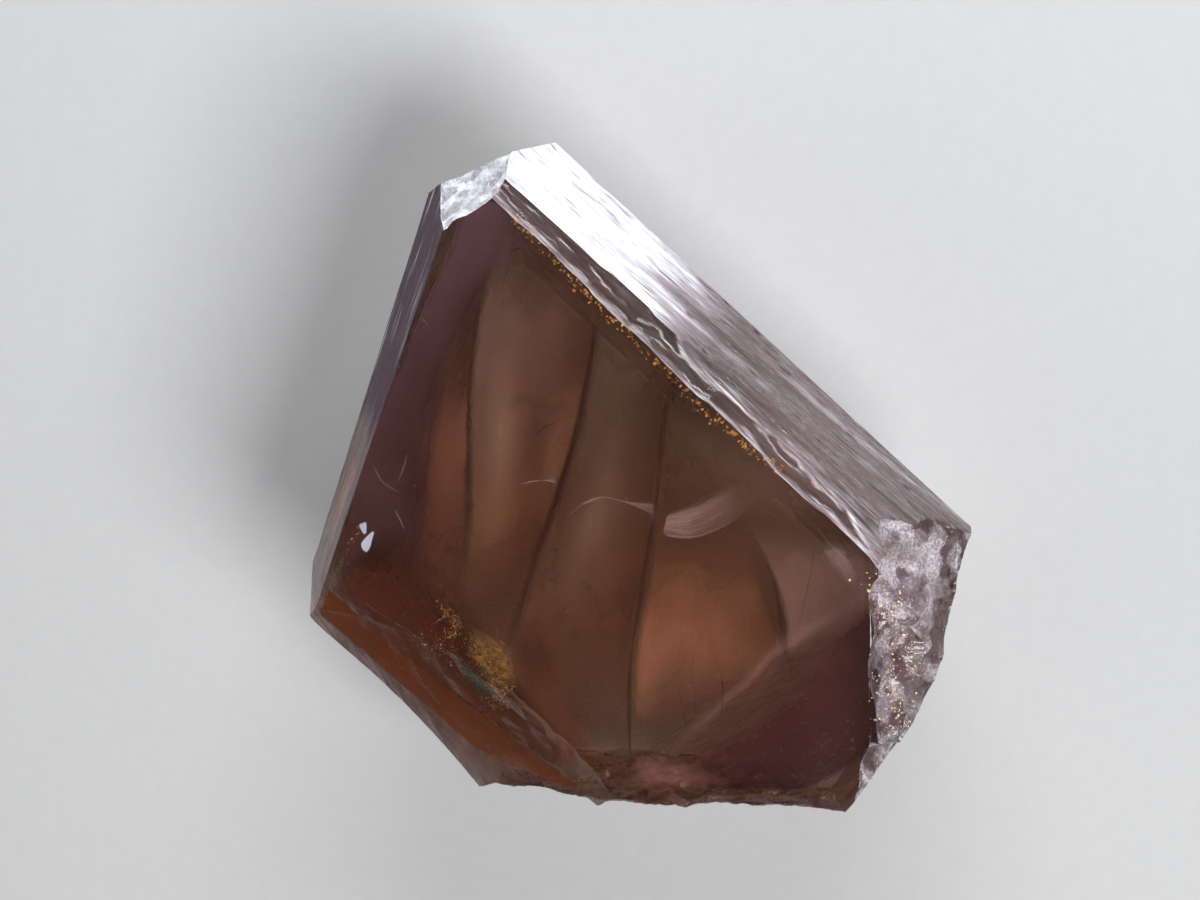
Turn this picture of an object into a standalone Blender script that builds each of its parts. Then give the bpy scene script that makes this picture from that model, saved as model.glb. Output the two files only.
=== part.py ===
"""Polished scapolite crystal: a smoky violet gem crystal with one ground and polished face.

One solid in metres, +Z up, lying on its flat back face with the polished face up.  The origin is
under the middle of its box, on the surface it rests on.

The crystal is a block cut by flat faces, the way a cut stone is described.  Each face has a
bearing (the compass direction it looks towards, from +X towards +Y), a lean (how far it looks up,
or down where it is negative) and a reach (how far out it lies from the block's upright middle
line, at a stated height).  The crystal's long axis is level, on a bearing of about 71 degrees.
Broken and etched faces are cut by blocks whose inner side carries the relief of the break.
"""

import math
from dataclasses import dataclass

import bmesh
import bpy
from mathutils import Matrix, Vector, noise

MM = 0.001

# Driving dimensions, in millimetres and degrees.
THICKNESS = 16.0  # from the surface up to the polished face, on the middle line
POLISH_BEARING = 230.0
POLISH_LEAN = 87.0  # the polished face is a 3 degree wedge off the back face
BLOCK = 60.0  # the rough block that the faces are cut on
CUTTER_DEPTH = 15.0
TOP = THICKNESS
BASE = 0.0


@dataclass(frozen=True)
class Facet:
    """A flat face: where it looks (degrees) and how far out it lies at a height (mm)."""

    bearing: float
    lean: float
    reach: float
    height: float

    def out(self) -> Vector:
        """The unit vector that the face looks along."""
        bearing = math.radians(self.bearing)
        lean = math.radians(self.lean)
        level = math.cos(lean)
        return Vector((level * math.cos(bearing), level * math.sin(bearing), math.sin(lean)))

    def point(self) -> Vector:
        """The point of the face straight out from the middle line, in metres."""
        bearing = math.radians(self.bearing)
        level = Vector((math.cos(bearing), math.sin(bearing), 0.0)) * self.reach
        return (level + Vector((0.0, 0.0, self.height))) * MM

    def frame(self) -> Matrix:
        """Axes of the face at its point: X level along it, Y up it and Z out of it."""
        out = self.out()
        along = Vector((0.0, 0.0, 1.0)).cross(out).normalized()
        frame = Matrix((along, out.cross(along), out)).transposed().to_4x4()
        frame.translation = self.point()
        return frame


@dataclass(frozen=True)
class Swell:
    """Smooth uneven relief: about how high it is, the size of its details, and its seed."""

    height: float
    size: float
    seed: float

    def at(self, x: float, y: float) -> float:
        """The relief in millimetres at a place on the face."""
        place = Vector((x / self.size, y / self.size, self.seed))
        return self.height * noise.fractal(place, 1.0, 2.0, 3)


@dataclass(frozen=True)
class Scallops:
    """Bowls that meet in sharp rims, as on a brittle break: rim height, bowl size and seed."""

    height: float
    size: float
    seed: float

    def at(self, x: float, y: float) -> float:
        """The relief in millimetres at a place on the face."""
        place = Vector((x / self.size, y / self.size, self.seed))
        nearest, second = noise.voronoi(place)[0][:2]
        return self.height * (nearest / second) ** 2


@dataclass(frozen=True)
class Ledges:
    """Long ledges, one above the other, on a face whose mean slope stays flat."""

    slope: float
    rise: float
    wander: Swell
    ramp_power: int = 4

    def at(self, x: float, y: float) -> float:
        """The relief in millimetres at a place on the face."""
        slope = self.slope * y + self.wander.at(x, 0.5 * y)
        step = math.floor(slope / self.rise)
        part = slope / self.rise - step
        return self.rise * (step + part**self.ramp_power) - self.slope * y


@dataclass(frozen=True)
class Hollow:
    """A shell-shaped hollow with faint ripples round the point where the chip came off."""

    depth: float
    half_length: float
    half_width: float
    ripple: float
    ripple_spacing: float
    ripple_centre: float

    def at(self, x: float, y: float) -> float:
        """The relief in millimetres at a place on the face."""
        dip = max(0.0, 1.0 - (x / self.half_length) ** 2 - (y / self.half_width) ** 2)
        turns = math.hypot(x, y - self.ripple_centre) / self.ripple_spacing
        return dip * (self.ripple * math.sin(math.tau * turns) - self.depth)


@dataclass(frozen=True)
class RoughFace:
    """A broken or etched face: its mean facet, its relief, and the cutter that makes it.

    The cutter is `length` along the face and `width` up it, in cells of the given sizes.  Its
    middle lies on the facet's point, or `shift` further along the face, and `level` raises it.
    """

    facet: Facet
    length: float
    width: float
    cell_along: float
    cell_up: float
    relief: tuple[Swell | Scallops | Ledges | Hollow, ...]
    level: float = 0.0
    shift: float = 0.0

    def height(self, x: float, y: float) -> float:
        """The height of the relief in millimetres at a place on the face."""
        return self.level + sum(part.at(x, y) for part in self.relief)


# Grown faces and the flat faces of the back, which widen the crystal upwards from its base.
FLAT_FACES = {
    "pyramid_face": Facet(47.9, 30.0, 7.45, TOP),
    "prism_face": Facet(161.4, 23.5, 15.1, TOP),
    "back_prism": Facet(163.0, -28.5, 11.5, BASE),
    "back_pyramid": Facet(47.9, -33.0, 3.2, BASE),
    "tip_wall": Facet(110.8, -7.0, 18.2, BASE),
    "back_tip": Facet(105.0, -40.0, 13.2, BASE),
    "back_lower_left": Facet(-142.5, -20.0, 15.9, BASE),
    "back_lower_right": Facet(-52.0, -33.0, 14.2, BASE),
    "cleavage_lower_right": Facet(-40.0, -15.0, 17.5, BASE),
    "cleavage_right": Facet(-15.0, -20.0, 15.1, BASE),
}


ROUGH_FACES = {
    "ridge_strip": RoughFace(
        facet=Facet(46.6, 65.0, 6.83, TOP),
        length=46.0,
        width=10.0,
        cell_along=0.7,
        cell_up=0.25,
        relief=(Ledges(slope=0.22, rise=0.14, wander=Swell(0.16, 4.6, 7.9)),),
    ),
    "tip_break": RoughFace(
        facet=Facet(126.0, 33.0, 18.0, TOP),
        length=16.0,
        width=14.0,
        cell_along=0.45,
        cell_up=0.45,
        relief=(Swell(0.28, 1.7, 4.4),),
    ),
    "scoop": RoughFace(
        facet=Facet(-124.0, 55.0, 16.1, TOP),
        length=36.0,
        width=24.0,
        cell_along=0.8,
        cell_up=0.8,
        relief=(
            Hollow(
                depth=1.35,
                half_length=11.0,
                half_width=9.0,
                ripple=0.05,
                ripple_spacing=1.85,
                ripple_centre=4.0,
            ),
            Swell(0.08, 4.0, 1.3),
        ),
    ),
    "right_break": RoughFace(
        facet=Facet(1.0, 46.0, 13.7, TOP),
        length=34.0,
        width=26.0,
        cell_along=0.55,
        cell_up=0.55,
        relief=(Swell(0.5, 5.0, 3.1), Scallops(0.6, 3.4, 8.2)),
        level=-0.35,
    ),
    "corner_chip": RoughFace(
        facet=Facet(-8.0, 50.0, 15.1, TOP),
        length=10.0,
        width=10.0,
        cell_along=0.45,
        cell_up=0.45,
        relief=(Swell(0.3, 2.2, 6.6), Scallops(0.3, 1.8, 1.9)),
        level=-0.15,
        shift=-18.0,
    ),
    "foot_break": RoughFace(
        facet=Facet(-87.7, -4.0, 19.5, TOP),
        length=46.0,
        width=38.0,
        cell_along=0.6,
        cell_up=0.6,
        relief=(Swell(0.4, 4.2, 5.7), Scallops(0.4, 3.0, 2.4), Swell(0.16, 1.3, 9.3)),
        level=-0.2,
    ),
}


def cut_flat(bm: bmesh.types.BMesh, facet: Facet) -> None:
    """Saws off what lies beyond a facet and closes the cut with one flat face."""
    cut = bmesh.ops.bisect_plane(
        bm,
        geom=bm.verts[:] + bm.edges[:] + bm.faces[:],
        dist=1e-7,
        plane_co=facet.point(),
        plane_no=facet.out(),
        clear_outer=True,
    )
    rim = [item for item in cut["geom_cut"] if isinstance(item, bmesh.types.BMEdge)]
    bmesh.ops.contextual_create(bm, geom=rim)


def crystal_blank() -> bmesh.types.BMesh:
    """The crystal as its flat faces alone bound it."""
    bm = bmesh.new()
    bmesh.ops.create_cube(bm, size=BLOCK * MM)
    bmesh.ops.translate(bm, verts=bm.verts, vec=(0.0, 0.0, BLOCK * MM / 2))
    cut_flat(bm, Facet(POLISH_BEARING, POLISH_LEAN, 0.0, THICKNESS))
    for facet in FLAT_FACES.values():
        cut_flat(bm, facet)
    bmesh.ops.recalc_face_normals(bm, faces=bm.faces)
    return bm


def rough_cutter(name: str, face: RoughFace) -> bpy.types.Object:
    """A block outside the crystal whose inner side carries the relief of a break."""
    bm = bmesh.new()
    bmesh.ops.create_grid(
        bm,
        x_segments=round(face.length / face.cell_along),
        y_segments=round(face.width / face.cell_up),
        size=0.5,
    )
    bmesh.ops.scale(bm, verts=bm.verts, vec=(face.length, face.width, 1.0))
    inner = bm.verts[:]
    outer = bmesh.ops.extrude_face_region(bm, geom=bm.faces[:])["geom"]
    for vert in inner:
        vert.co.z = face.height(vert.co.x, vert.co.y)
    for item in outer:
        if isinstance(item, bmesh.types.BMVert):
            item.co.z = CUTTER_DEPTH
    bmesh.ops.translate(bm, verts=bm.verts, vec=(face.shift, 0.0, 0.0))
    bmesh.ops.scale(bm, verts=bm.verts, vec=(MM, MM, MM))
    bmesh.ops.transform(bm, verts=bm.verts, matrix=face.facet.frame())
    bmesh.ops.recalc_face_normals(bm, faces=bm.faces)
    return new_object(name, bm)


def new_object(name: str, bm: bmesh.types.BMesh) -> bpy.types.Object:
    """A mesh object at the origin, made from a bmesh that is then freed."""
    mesh = bpy.data.meshes.new(name)
    bm.to_mesh(mesh)
    bm.free()
    return bpy.data.objects.new(name, mesh)


def new_collection(name: str) -> bpy.types.Collection:
    """An empty collection in the scene."""
    collection = bpy.data.collections.new(name)
    bpy.context.scene.collection.children.link(collection)
    return collection


def add_cut(body: bpy.types.Object, cutter: bpy.types.Object) -> None:
    """Takes a cutter away from the body by a Boolean modifier."""
    cutter.display_type = "WIRE"
    cutter.hide_render = True
    modifier = body.modifiers.new("cut_" + cutter.name, "BOOLEAN")
    modifier.operation = "DIFFERENCE"
    modifier.solver = "EXACT"
    modifier.object = cutter


def smoky_violet() -> bpy.types.Material:
    """Clear crystal of a dark, smoky violet-brown."""
    material = bpy.data.materials.new("smoky_violet_scapolite")
    material.use_nodes = True
    shader = material.node_tree.nodes["Principled BSDF"]
    shader.inputs["Base Color"].default_value = (0.16, 0.09, 0.12, 1.0)
    shader.inputs["Roughness"].default_value = 0.08
    shader.inputs["Metallic"].default_value = 0.0
    shader.inputs["IOR"].default_value = 1.55
    shader.inputs["Transmission Weight"].default_value = 1.0
    return material


def centre_on_box(middle_line: bpy.types.Object, crystal: bpy.types.Object) -> None:
    """Moves the block's middle line so that the origin is under the middle of the crystal."""
    evaluated = crystal.evaluated_get(bpy.context.evaluated_depsgraph_get())
    corners = [Vector(corner) for corner in evaluated.bound_box]
    middle = sum(corners, Vector()) / len(corners)
    middle_line.location = (-middle.x, -middle.y, 0.0)


def main() -> None:
    """Clears the scene and builds the crystal."""
    for leftover in list(bpy.data.objects):
        bpy.data.objects.remove(leftover)
    crystal_parts = new_collection("polished_scapolite_crystal")
    cutters = new_collection("cutters")
    middle_line = bpy.data.objects.new("middle_line", None)
    crystal_parts.objects.link(middle_line)
    crystal = new_object("scapolite_crystal", crystal_blank())
    crystal.data.materials.append(smoky_violet())
    crystal.parent = middle_line
    crystal_parts.objects.link(crystal)
    for name, face in ROUGH_FACES.items():
        cutter = rough_cutter(name, face)
        cutter.parent = middle_line
        cutters.objects.link(cutter)
        add_cut(crystal, cutter)
    centre_on_box(middle_line, crystal)


main()
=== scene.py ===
"""Looks of the polished scapolite crystal: its fine surface, what is sealed in it, the highlights,
sheen, glints, reflection and shade painted on and in it, and its light.

Sizes are in millimetres and degrees unless a name says otherwise.  Places are measured from the
upright middle line of the block that the crystal was cut from, and up from the surface it lies on.
"""

import logging
import math
import random
from dataclasses import dataclass, field
from enum import Enum
import bmesh
import bpy
from mathutils import Matrix, Vector, noise
from mathutils.bvhtree import BVHTree


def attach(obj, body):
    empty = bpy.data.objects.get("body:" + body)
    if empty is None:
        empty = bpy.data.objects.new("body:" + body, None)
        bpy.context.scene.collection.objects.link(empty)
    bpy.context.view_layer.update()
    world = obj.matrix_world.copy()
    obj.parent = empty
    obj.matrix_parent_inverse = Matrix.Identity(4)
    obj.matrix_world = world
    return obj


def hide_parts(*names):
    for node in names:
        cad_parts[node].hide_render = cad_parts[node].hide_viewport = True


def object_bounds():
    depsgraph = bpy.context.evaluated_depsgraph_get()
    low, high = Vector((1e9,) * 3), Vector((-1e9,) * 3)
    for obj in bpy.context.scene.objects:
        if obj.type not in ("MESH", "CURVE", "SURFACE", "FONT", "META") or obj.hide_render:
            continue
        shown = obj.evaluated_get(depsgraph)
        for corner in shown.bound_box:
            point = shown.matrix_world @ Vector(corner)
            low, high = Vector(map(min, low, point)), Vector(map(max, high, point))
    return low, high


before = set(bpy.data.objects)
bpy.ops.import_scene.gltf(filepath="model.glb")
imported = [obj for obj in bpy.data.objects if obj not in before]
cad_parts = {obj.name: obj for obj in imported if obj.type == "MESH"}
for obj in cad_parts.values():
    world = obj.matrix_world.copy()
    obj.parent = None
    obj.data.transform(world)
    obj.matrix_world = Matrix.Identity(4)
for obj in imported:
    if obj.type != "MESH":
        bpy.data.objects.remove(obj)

LOG = logging.getLogger("scapolite_crystal")
MM = 0.001
CAD_BOX = [tuple(corner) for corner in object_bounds()]
NODE = "scapolite_crystal"
BODY = "root"
MIDDLE_LINE = Vector((0.656, 0.501, 0.0))
UP = Vector((0.0, 0.0, 1.0))
NOISE_SEED = 7
DOUBLES = 1e-7
ON_PLANE = 2e-7
MOST_CORNERS = 4
LEVEL_ANGLE = 2.0
LEVEL_GAP = 0.05
DEGREES_PER_MM = 30.0
RULED_OUT = 1e3
Colour = tuple[float, float, float]
Place = tuple[float, float, float]

# The vector noise starts from the clock until it is given a seed.
noise.seed_set(NOISE_SEED)


class Texture(Enum):
    """What the surface of a face looks like from close by."""

    SMOOTH = "flat and polished"
    STRIATED = "fine ridges along one direction"
    BROKEN = "small broken planes"


def spot_at(x: float, y: float, z: float) -> Vector:
    """A place in metres, from millimetres off the block's middle line."""
    return (Vector((x, y, z)) + MIDDLE_LINE) * MM


def eased(low: float, high: float, value: float) -> float:
    """0 at low and 1 at high, with a smooth rise between them; low may be the larger."""
    part = min(1.0, max(0.0, (value - low) / (high - low)))
    return part * part * (3.0 - 2.0 * part)


def place_mesh(
    bm: bmesh.types.BMesh, name: str, material: bpy.types.Material
) -> bpy.types.Object:
    """Makes a piece from a mesh and lets it ride with the crystal.

    Args:
        bm: the mesh, which is used up.
        name: the piece's name.
        material: its one material.

    Returns:
        The piece.
    """
    mesh = bpy.data.meshes.new(name)
    bm.to_mesh(mesh)
    bm.free()
    mesh.materials.append(material)
    piece = bpy.data.objects.new(name, mesh)
    bpy.context.scene.collection.objects.link(piece)
    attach(piece, BODY)
    LOG.info("%s: %d polygons", name, len(mesh.polygons))
    return piece


# ---------------------------------------------------------------------------------------------
# Shader nodes
# ---------------------------------------------------------------------------------------------


class Value:
    """A number socket that takes part in arithmetic: each operator adds its Math node."""

    def __init__(self, shading: "Shading", socket: bpy.types.NodeSocket) -> None:
        """Wraps an output socket of a node in the given shading."""
        self.shading = shading
        self.socket = socket

    def _math(self, operation: str, first: object, second: object = 0.0) -> "Value":
        """Adds a Math node.

        Args:
            operation: the Math node's operation.
            first: its first operand, a Value or a number.
            second: its second operand, a Value or a number.

        Returns:
            The node's result.
        """
        made = self.shading.node("ShaderNodeMath", {"operation": operation}, {0: first, 1: second})
        return Value(self.shading, made.outputs[0])

    def __add__(self, other: object) -> "Value":
        """self + other"""
        return self._math("ADD", self, other)

    def __radd__(self, other: object) -> "Value":
        """other + self"""
        return self._math("ADD", other, self)

    def __sub__(self, other: object) -> "Value":
        """self - other"""
        return self._math("SUBTRACT", self, other)

    def __rsub__(self, other: object) -> "Value":
        """other - self"""
        return self._math("SUBTRACT", other, self)

    def __mul__(self, other: object) -> "Value":
        """self * other"""
        return self._math("MULTIPLY", self, other)

    def __rmul__(self, other: object) -> "Value":
        """other * self"""
        return self._math("MULTIPLY", other, self)

    def clamped(self) -> "Value":
        """The value held between 0 and 1."""
        made = self.shading.node("ShaderNodeClamp", {}, {"Value": self, "Min": 0.0, "Max": 1.0})
        return Value(self.shading, made.outputs[0])

    def eased(self, low: float, high: float) -> "Value":
        """0 where the value is low and 1 where it is high, with a smooth rise between them."""
        made = self.shading.node(
            "ShaderNodeMapRange",
            {"interpolation_type": "SMOOTHSTEP"},
            {"Value": self, "From Min": low, "From Max": high},
        )
        return Value(self.shading, made.outputs[0])


class Shading:
    """The node tree of one material or world."""

    def __init__(self, owner: bpy.types.Material | bpy.types.World) -> None:
        """Starts with an empty node tree in a material or a world."""
        self.owner = owner
        owner.use_nodes = True
        self.tree = owner.node_tree
        self.tree.nodes.clear()

    @classmethod
    def named(cls, name: str) -> "Shading":
        """The shading of a new material."""
        return cls(bpy.data.materials.new(name))

    def node(self, kind: str, settings: dict[str, object], values: dict) -> bpy.types.Node:
        """Adds a node.

        Args:
            kind: the node's type.
            settings: its properties, which are set before its sockets are touched.
            values: what each input takes, by name or number: a number, a colour, a socket or
                a Value.

        Returns:
            The new node.
        """
        made = self.tree.nodes.new(kind)
        for name, setting in settings.items():
            setattr(made, name, setting)
        for name, value in values.items():
            target = made.inputs[name]
            if isinstance(value, Value):
                value = value.socket
            if isinstance(value, bpy.types.NodeSocket):
                self.tree.links.new(value, target)
            elif isinstance(value, tuple) and target.type == "RGBA":
                target.default_value = (*value, 1.0)
            else:
                target.default_value = value
        return made

    def object_place(self) -> bpy.types.NodeSocket:
        """The place on the piece, in metres."""
        return self.node("ShaderNodeTexCoord", {}, {}).outputs["Object"]

    def grain_place(self) -> bpy.types.NodeSocket:
        """The place along and across the grain of the surface, from the piece's UV map."""
        return self.node("ShaderNodeUVMap", {"uv_map": "grain"}, {}).outputs["UV"]

    def stretched(self, place: bpy.types.NodeSocket, scale: Colour) -> bpy.types.NodeSocket:
        """A place multiplied by a number for each axis."""
        settings = {"operation": "MULTIPLY"}
        return self.node("ShaderNodeVectorMath", settings, {0: place, 1: scale}).outputs[0]

    def attribute(self, name: str) -> Value:
        """A number stored on the mesh."""
        made = self.node("ShaderNodeAttribute", {"attribute_name": name}, {})
        return Value(self, made.outputs["Fac"])

    def noise(
        self,
        place: bpy.types.NodeSocket,
        scale: float,
        detail: float = 3.0,
        roughness: float = 0.5,
        distortion: float = 0.0,
    ) -> Value:
        """Smooth noise of 0 to 1.

        Args:
            place: where it is read.
            scale: how many of its details there are in one unit of place.
            detail: its octaves.
            roughness: how strong its finer octaves are.
            distortion: how far it is stirred.

        Returns:
            The noise.
        """
        made = self.node(
            "ShaderNodeTexNoise",
            {"noise_dimensions": "3D"},
            {
                "Vector": place,
                "Scale": scale,
                "Detail": detail,
                "Roughness": roughness,
                "Distortion": distortion,
            },
        )
        return Value(self, made.outputs["Fac"])

    def mixed(self, share: object, first: object, second: object) -> bpy.types.NodeSocket:
        """A colour that goes from the first to the second as share goes from 0 to 1."""
        made = self.node("ShaderNodeMix", {"data_type": "RGBA"}, {0: share, 6: first, 7: second})
        return made.outputs[2]

    def bumped(self, height: Value, distance: float) -> bpy.types.NodeSocket:
        """A normal tilted by a height of 0 to 1 that stands for a distance in metres."""
        made = self.node("ShaderNodeBump", {}, {"Height": height, "Distance": distance})
        return made.outputs["Normal"]

    def finish(
        self, surface: bpy.types.Node, volume: bpy.types.Node | None = None
    ) -> bpy.types.Material:
        """Joins the shaders to the material's output and returns the material."""
        output = self.node("ShaderNodeOutputMaterial", {}, {"Surface": surface.outputs[0]})
        if volume is not None:
            self.tree.links.new(volume.outputs[0], output.inputs["Volume"])
        return self.owner


@dataclass(frozen=True)
class CrystalFinish:
    """Clear crystal with a smoky violet tint all through, and a white coat where it is worn and
    frosted. The same coat paints highlights and sheen on some grown faces, and its dark colour
    paints shade in pits and grooves.
    """

    tint: Colour = (0.56, 0.23, 0.0)
    strength: float = 82.0
    bend: float = 1.55
    white: Colour = (0.86, 0.88, 0.94)
    warm_white: Colour = (0.56, 0.43, 0.47)
    dark: Colour = (0.07, 0.03, 0.05)

    def build(self) -> bpy.types.Material:
        """Makes the material.

        Returns:
            The material.
        """
        shading = Shading.named("smoky_crystal")
        place = shading.object_place()
        grain = shading.grain_place()
        striae = shading.attribute("striae")
        hackle = shading.attribute("hackle")
        frost_and_highlight = shading.attribute("frost_and_highlight")
        satin = shading.attribute("satin")
        dark_tone_and_shade = shading.attribute("dark_tone_and_shade")
        streak = shading.noise(shading.stretched(grain, (0.7, 9.0, 1.0)), 1.0, 2.0, 0.6)
        grit = shading.noise(place, 6000.0, 2.0, 0.65)
        patchy = grit + (streak - grit) * striae
        bump = shading.bumped(patchy * (striae * 0.8 + hackle * 0.6), 0.00003)
        glass = shading.node(
            "ShaderNodeBsdfPrincipled",
            {"distribution": "MULTI_GGX"},
            {
                "Base Color": (1.0, 1.0, 1.0),
                "Roughness": satin * (0.6 + 0.8 * patchy) + frost_and_highlight * 0.2,
                "IOR": self.bend,
                "Transmission Weight": 1.0,
                "Normal": bump,
            },
        )
        # The white coat is partly frosted crystal and partly painted highlight and sheen; its dark
        # colour paints shade in pits and grooves.
        bright = (patchy + frost_and_highlight.eased(0.6, 1.0) * 0.2).eased(0.35, 0.7)
        pale = shading.mixed(bright, self.warm_white, self.white)
        coat_and_painted_light = shading.node(
            "ShaderNodeBsdfPrincipled",
            {},
            {
                "Base Color": shading.mixed(dark_tone_and_shade, pale, self.dark),
                "Specular IOR Level": 0.0,
                "Roughness": 0.45,
                "Normal": bump,
            },
        )
        share = (frost_and_highlight * (0.55 + 0.9 * patchy)).clamped()
        surface = shading.node(
            "ShaderNodeMixShader",
            {},
            {0: share, 1: glass.outputs[0], 2: coat_and_painted_light.outputs[0]},
        )
        volume = shading.node(
            "ShaderNodeVolumeAbsorption", {}, {"Color": self.tint, "Density": self.strength}
        )
        return shading.finish(surface, volume)


# ---------------------------------------------------------------------------------------------
# The crystal's surface
# ---------------------------------------------------------------------------------------------


@dataclass(frozen=True)
class Facet:
    """A face: its bearing and lean in degrees, and its reach from the middle line at a height."""

    bearing: float
    lean: float
    reach: float
    height: float

    def out(self) -> Vector:
        """The unit vector that the face looks along."""
        bearing = math.radians(self.bearing)
        lean = math.radians(self.lean)
        level = math.cos(lean)
        return Vector((level * math.cos(bearing), level * math.sin(bearing), math.sin(lean)))

    def along(self) -> Vector:
        """The level direction in the face, anticlockwise round the crystal seen from above."""
        side = UP.cross(self.out())
        return side.normalized() if side.length > 1e-6 else Vector((1.0, 0.0, 0.0))

    def point(self) -> Vector:
        """The face's point straight out from the middle line, in millimetres."""
        bearing = math.radians(self.bearing)
        return Vector(
            (self.reach * math.cos(bearing), self.reach * math.sin(bearing), self.height)
        )

    def distance(self, place: Vector) -> float:
        """How far a place lies outside the face; both are in millimetres."""
        return (place - self.point()).dot(self.out())


@dataclass(frozen=True)
class Spot:
    """A place on a face in millimetres: in the block, along and across the grain."""

    place: Vector
    along: float
    across: float


RUBBED_HEIGHT = 5.0


@dataclass(frozen=True)
class Skin:
    """The fine surface of a face.

    The mesh is cut into cells of `cell_along` by `cell_across`; the grain is turned by `turn`
    from level; `height` is how deep the relief goes, `satin` the roughness of the clear surface,
    and `whiteness` how much of it is white: frosted, and on some grown faces a painted highlight.
    """

    cell_along: float
    cell_across: float
    height: float
    satin: float
    whiteness: float
    turn: float = 0.0
    seed: float = 0.0
    texture: Texture = Texture.STRIATED
    rubbed: float = 0.0

    def whitened(self, spot: Spot) -> float:
        """How white the surface is with what is rubbed white towards the base, from 0 to 1."""
        patch = 1.0 + 0.35 * noise.noise(spot.place * 0.4)
        low = self.rubbed * eased(RUBBED_HEIGHT * patch, 0.0, spot.place.z)
        return max(self.frost_and_highlight(spot), low)

    def depth(self, spot: Spot) -> float:
        """How far the surface lies below its face, in millimetres."""
        raise NotImplementedError

    def frost_and_highlight(self, spot: Spot) -> float:
        """How white the surface is, from 0 to 1."""
        raise NotImplementedError

    def dark_tone_and_shade(self, spot: Spot) -> float:
        """How dark the white coat is, from 0 to 1: a darker tone of the face, and painted shade."""
        return 0.0

    def wave(self, spot: Spot, along: float, across: float, layer: float = 0.0) -> float:
        """Smooth noise of -1 to 1 that is stretched along the grain.

        Args:
            spot: where it is read.
            along: its waves in a millimetre along the grain.
            across: its waves in a millimetre across the grain.
            layer: which of its many patterns is read.

        Returns:
            The noise.
        """
        return noise.noise(
            Vector((spot.along * along + self.seed, spot.across * across, self.seed + layer))
        )


@dataclass(frozen=True)
class Plain(Skin):
    """A face that stays flat, and may be rubbed white along its border."""

    border: tuple[Facet, ...] = ()

    def depth(self, spot: Spot) -> float:
        """Nothing, for the face is flat."""
        return 0.0

    def frost_and_highlight(self, spot: Spot) -> float:
        """The same white all over, and more towards the border."""
        gaps = [-facet.distance(spot.place) for facet in self.border]
        patch = 1.0 + 0.35 * noise.noise(spot.place * 0.4)
        rim = self.rubbed * eased(RUBBED_HEIGHT * patch, 0.0, min(gaps)) if gaps else 0.0
        return max(self.whiteness, rim)


@dataclass(frozen=True)
class Striated(Skin):
    """A grown face with fine ridges along its grain, short pits with painted shade in them, and
    streaks of white that are partly a painted highlight and sheen.
    """

    far_whiteness: float = 0.0
    white_from: float = 0.0
    white_to: float = 1.0
    streaks: float = 0.3
    pits: float = 0.0
    pits_under: float = 0.0
    grooves: float = 0.0
    calm: float = 0.0

    def streak(self, spot: Spot) -> float:
        """The streaks along the face, about -1 to 1."""
        return 0.55 * self.wave(spot, 0.11, 1.5, 4.0) + 0.45 * self.wave(spot, 0.3, 5.2, 5.0)

    def dark_tone_and_shade(self, spot: Spot) -> float:
        """Painted shade: dark pits, and dark grooves between the streaks, which on the prism face
        also stand in for a dark reflection.
        """
        grooves = self.grooves * (1.0 - self.calm * self.far(spot))
        return max(self.pit(spot), grooves * eased(0.55, 0.2, self.streak(spot)))

    def far(self, spot: Spot) -> float:
        """How far along the face a spot is, from 0 to 1 where the second white is reached."""
        sway = 2.0 * noise.noise(Vector((spot.across * 0.9, spot.along * 0.2, self.seed)))
        return eased(self.white_from, self.white_to, spot.along + sway)

    def pit(self, spot: Spot) -> float:
        """How much of a pit there is at a spot, from 0 to 1."""
        if self.pits == 0.0:
            return 0.0
        low = eased(self.pits_under + 2.0, self.pits_under - 1.5, spot.across)
        start = 0.42 - 0.26 * low
        shown = self.pits * (1.0 - self.calm * self.far(spot))
        return shown * eased(start, start + 0.14, self.wave(spot, 0.7, 4.6, 7.0))

    def depth(self, spot: Spot) -> float:
        """How far the ridges and pits go below the face."""
        ledges = self.wave(spot, 0.09, 0.75, 1.0)
        ridges = self.wave(spot, 0.2, 2.6, 2.0)
        fine = self.wave(spot, 0.45, 5.5, 3.0)
        mix = 0.5 * ledges + 0.33 * ridges + 0.17 * fine
        return self.height * (0.5 + mix) + 0.06 * self.pit(spot)

    def frost_and_highlight(self, spot: Spot) -> float:
        """White that fades along the face, in streaks, with painted shade in the pits. The white is
        partly the frosted face and partly a painted highlight and sheen, strongest at one end.
        """
        share = self.far(spot)
        base = self.whiteness + (self.far_whiteness - self.whiteness) * share
        streaks = self.streaks * (1.0 - self.calm * share)
        white = base * (1.0 + streaks * 2.4 * self.streak(spot))
        pit = self.pit(spot)
        # Painted shade: the pits take the dark coat.
        return min(1.0, max(0.0, white)) * (1.0 - pit) + 0.7 * pit


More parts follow.
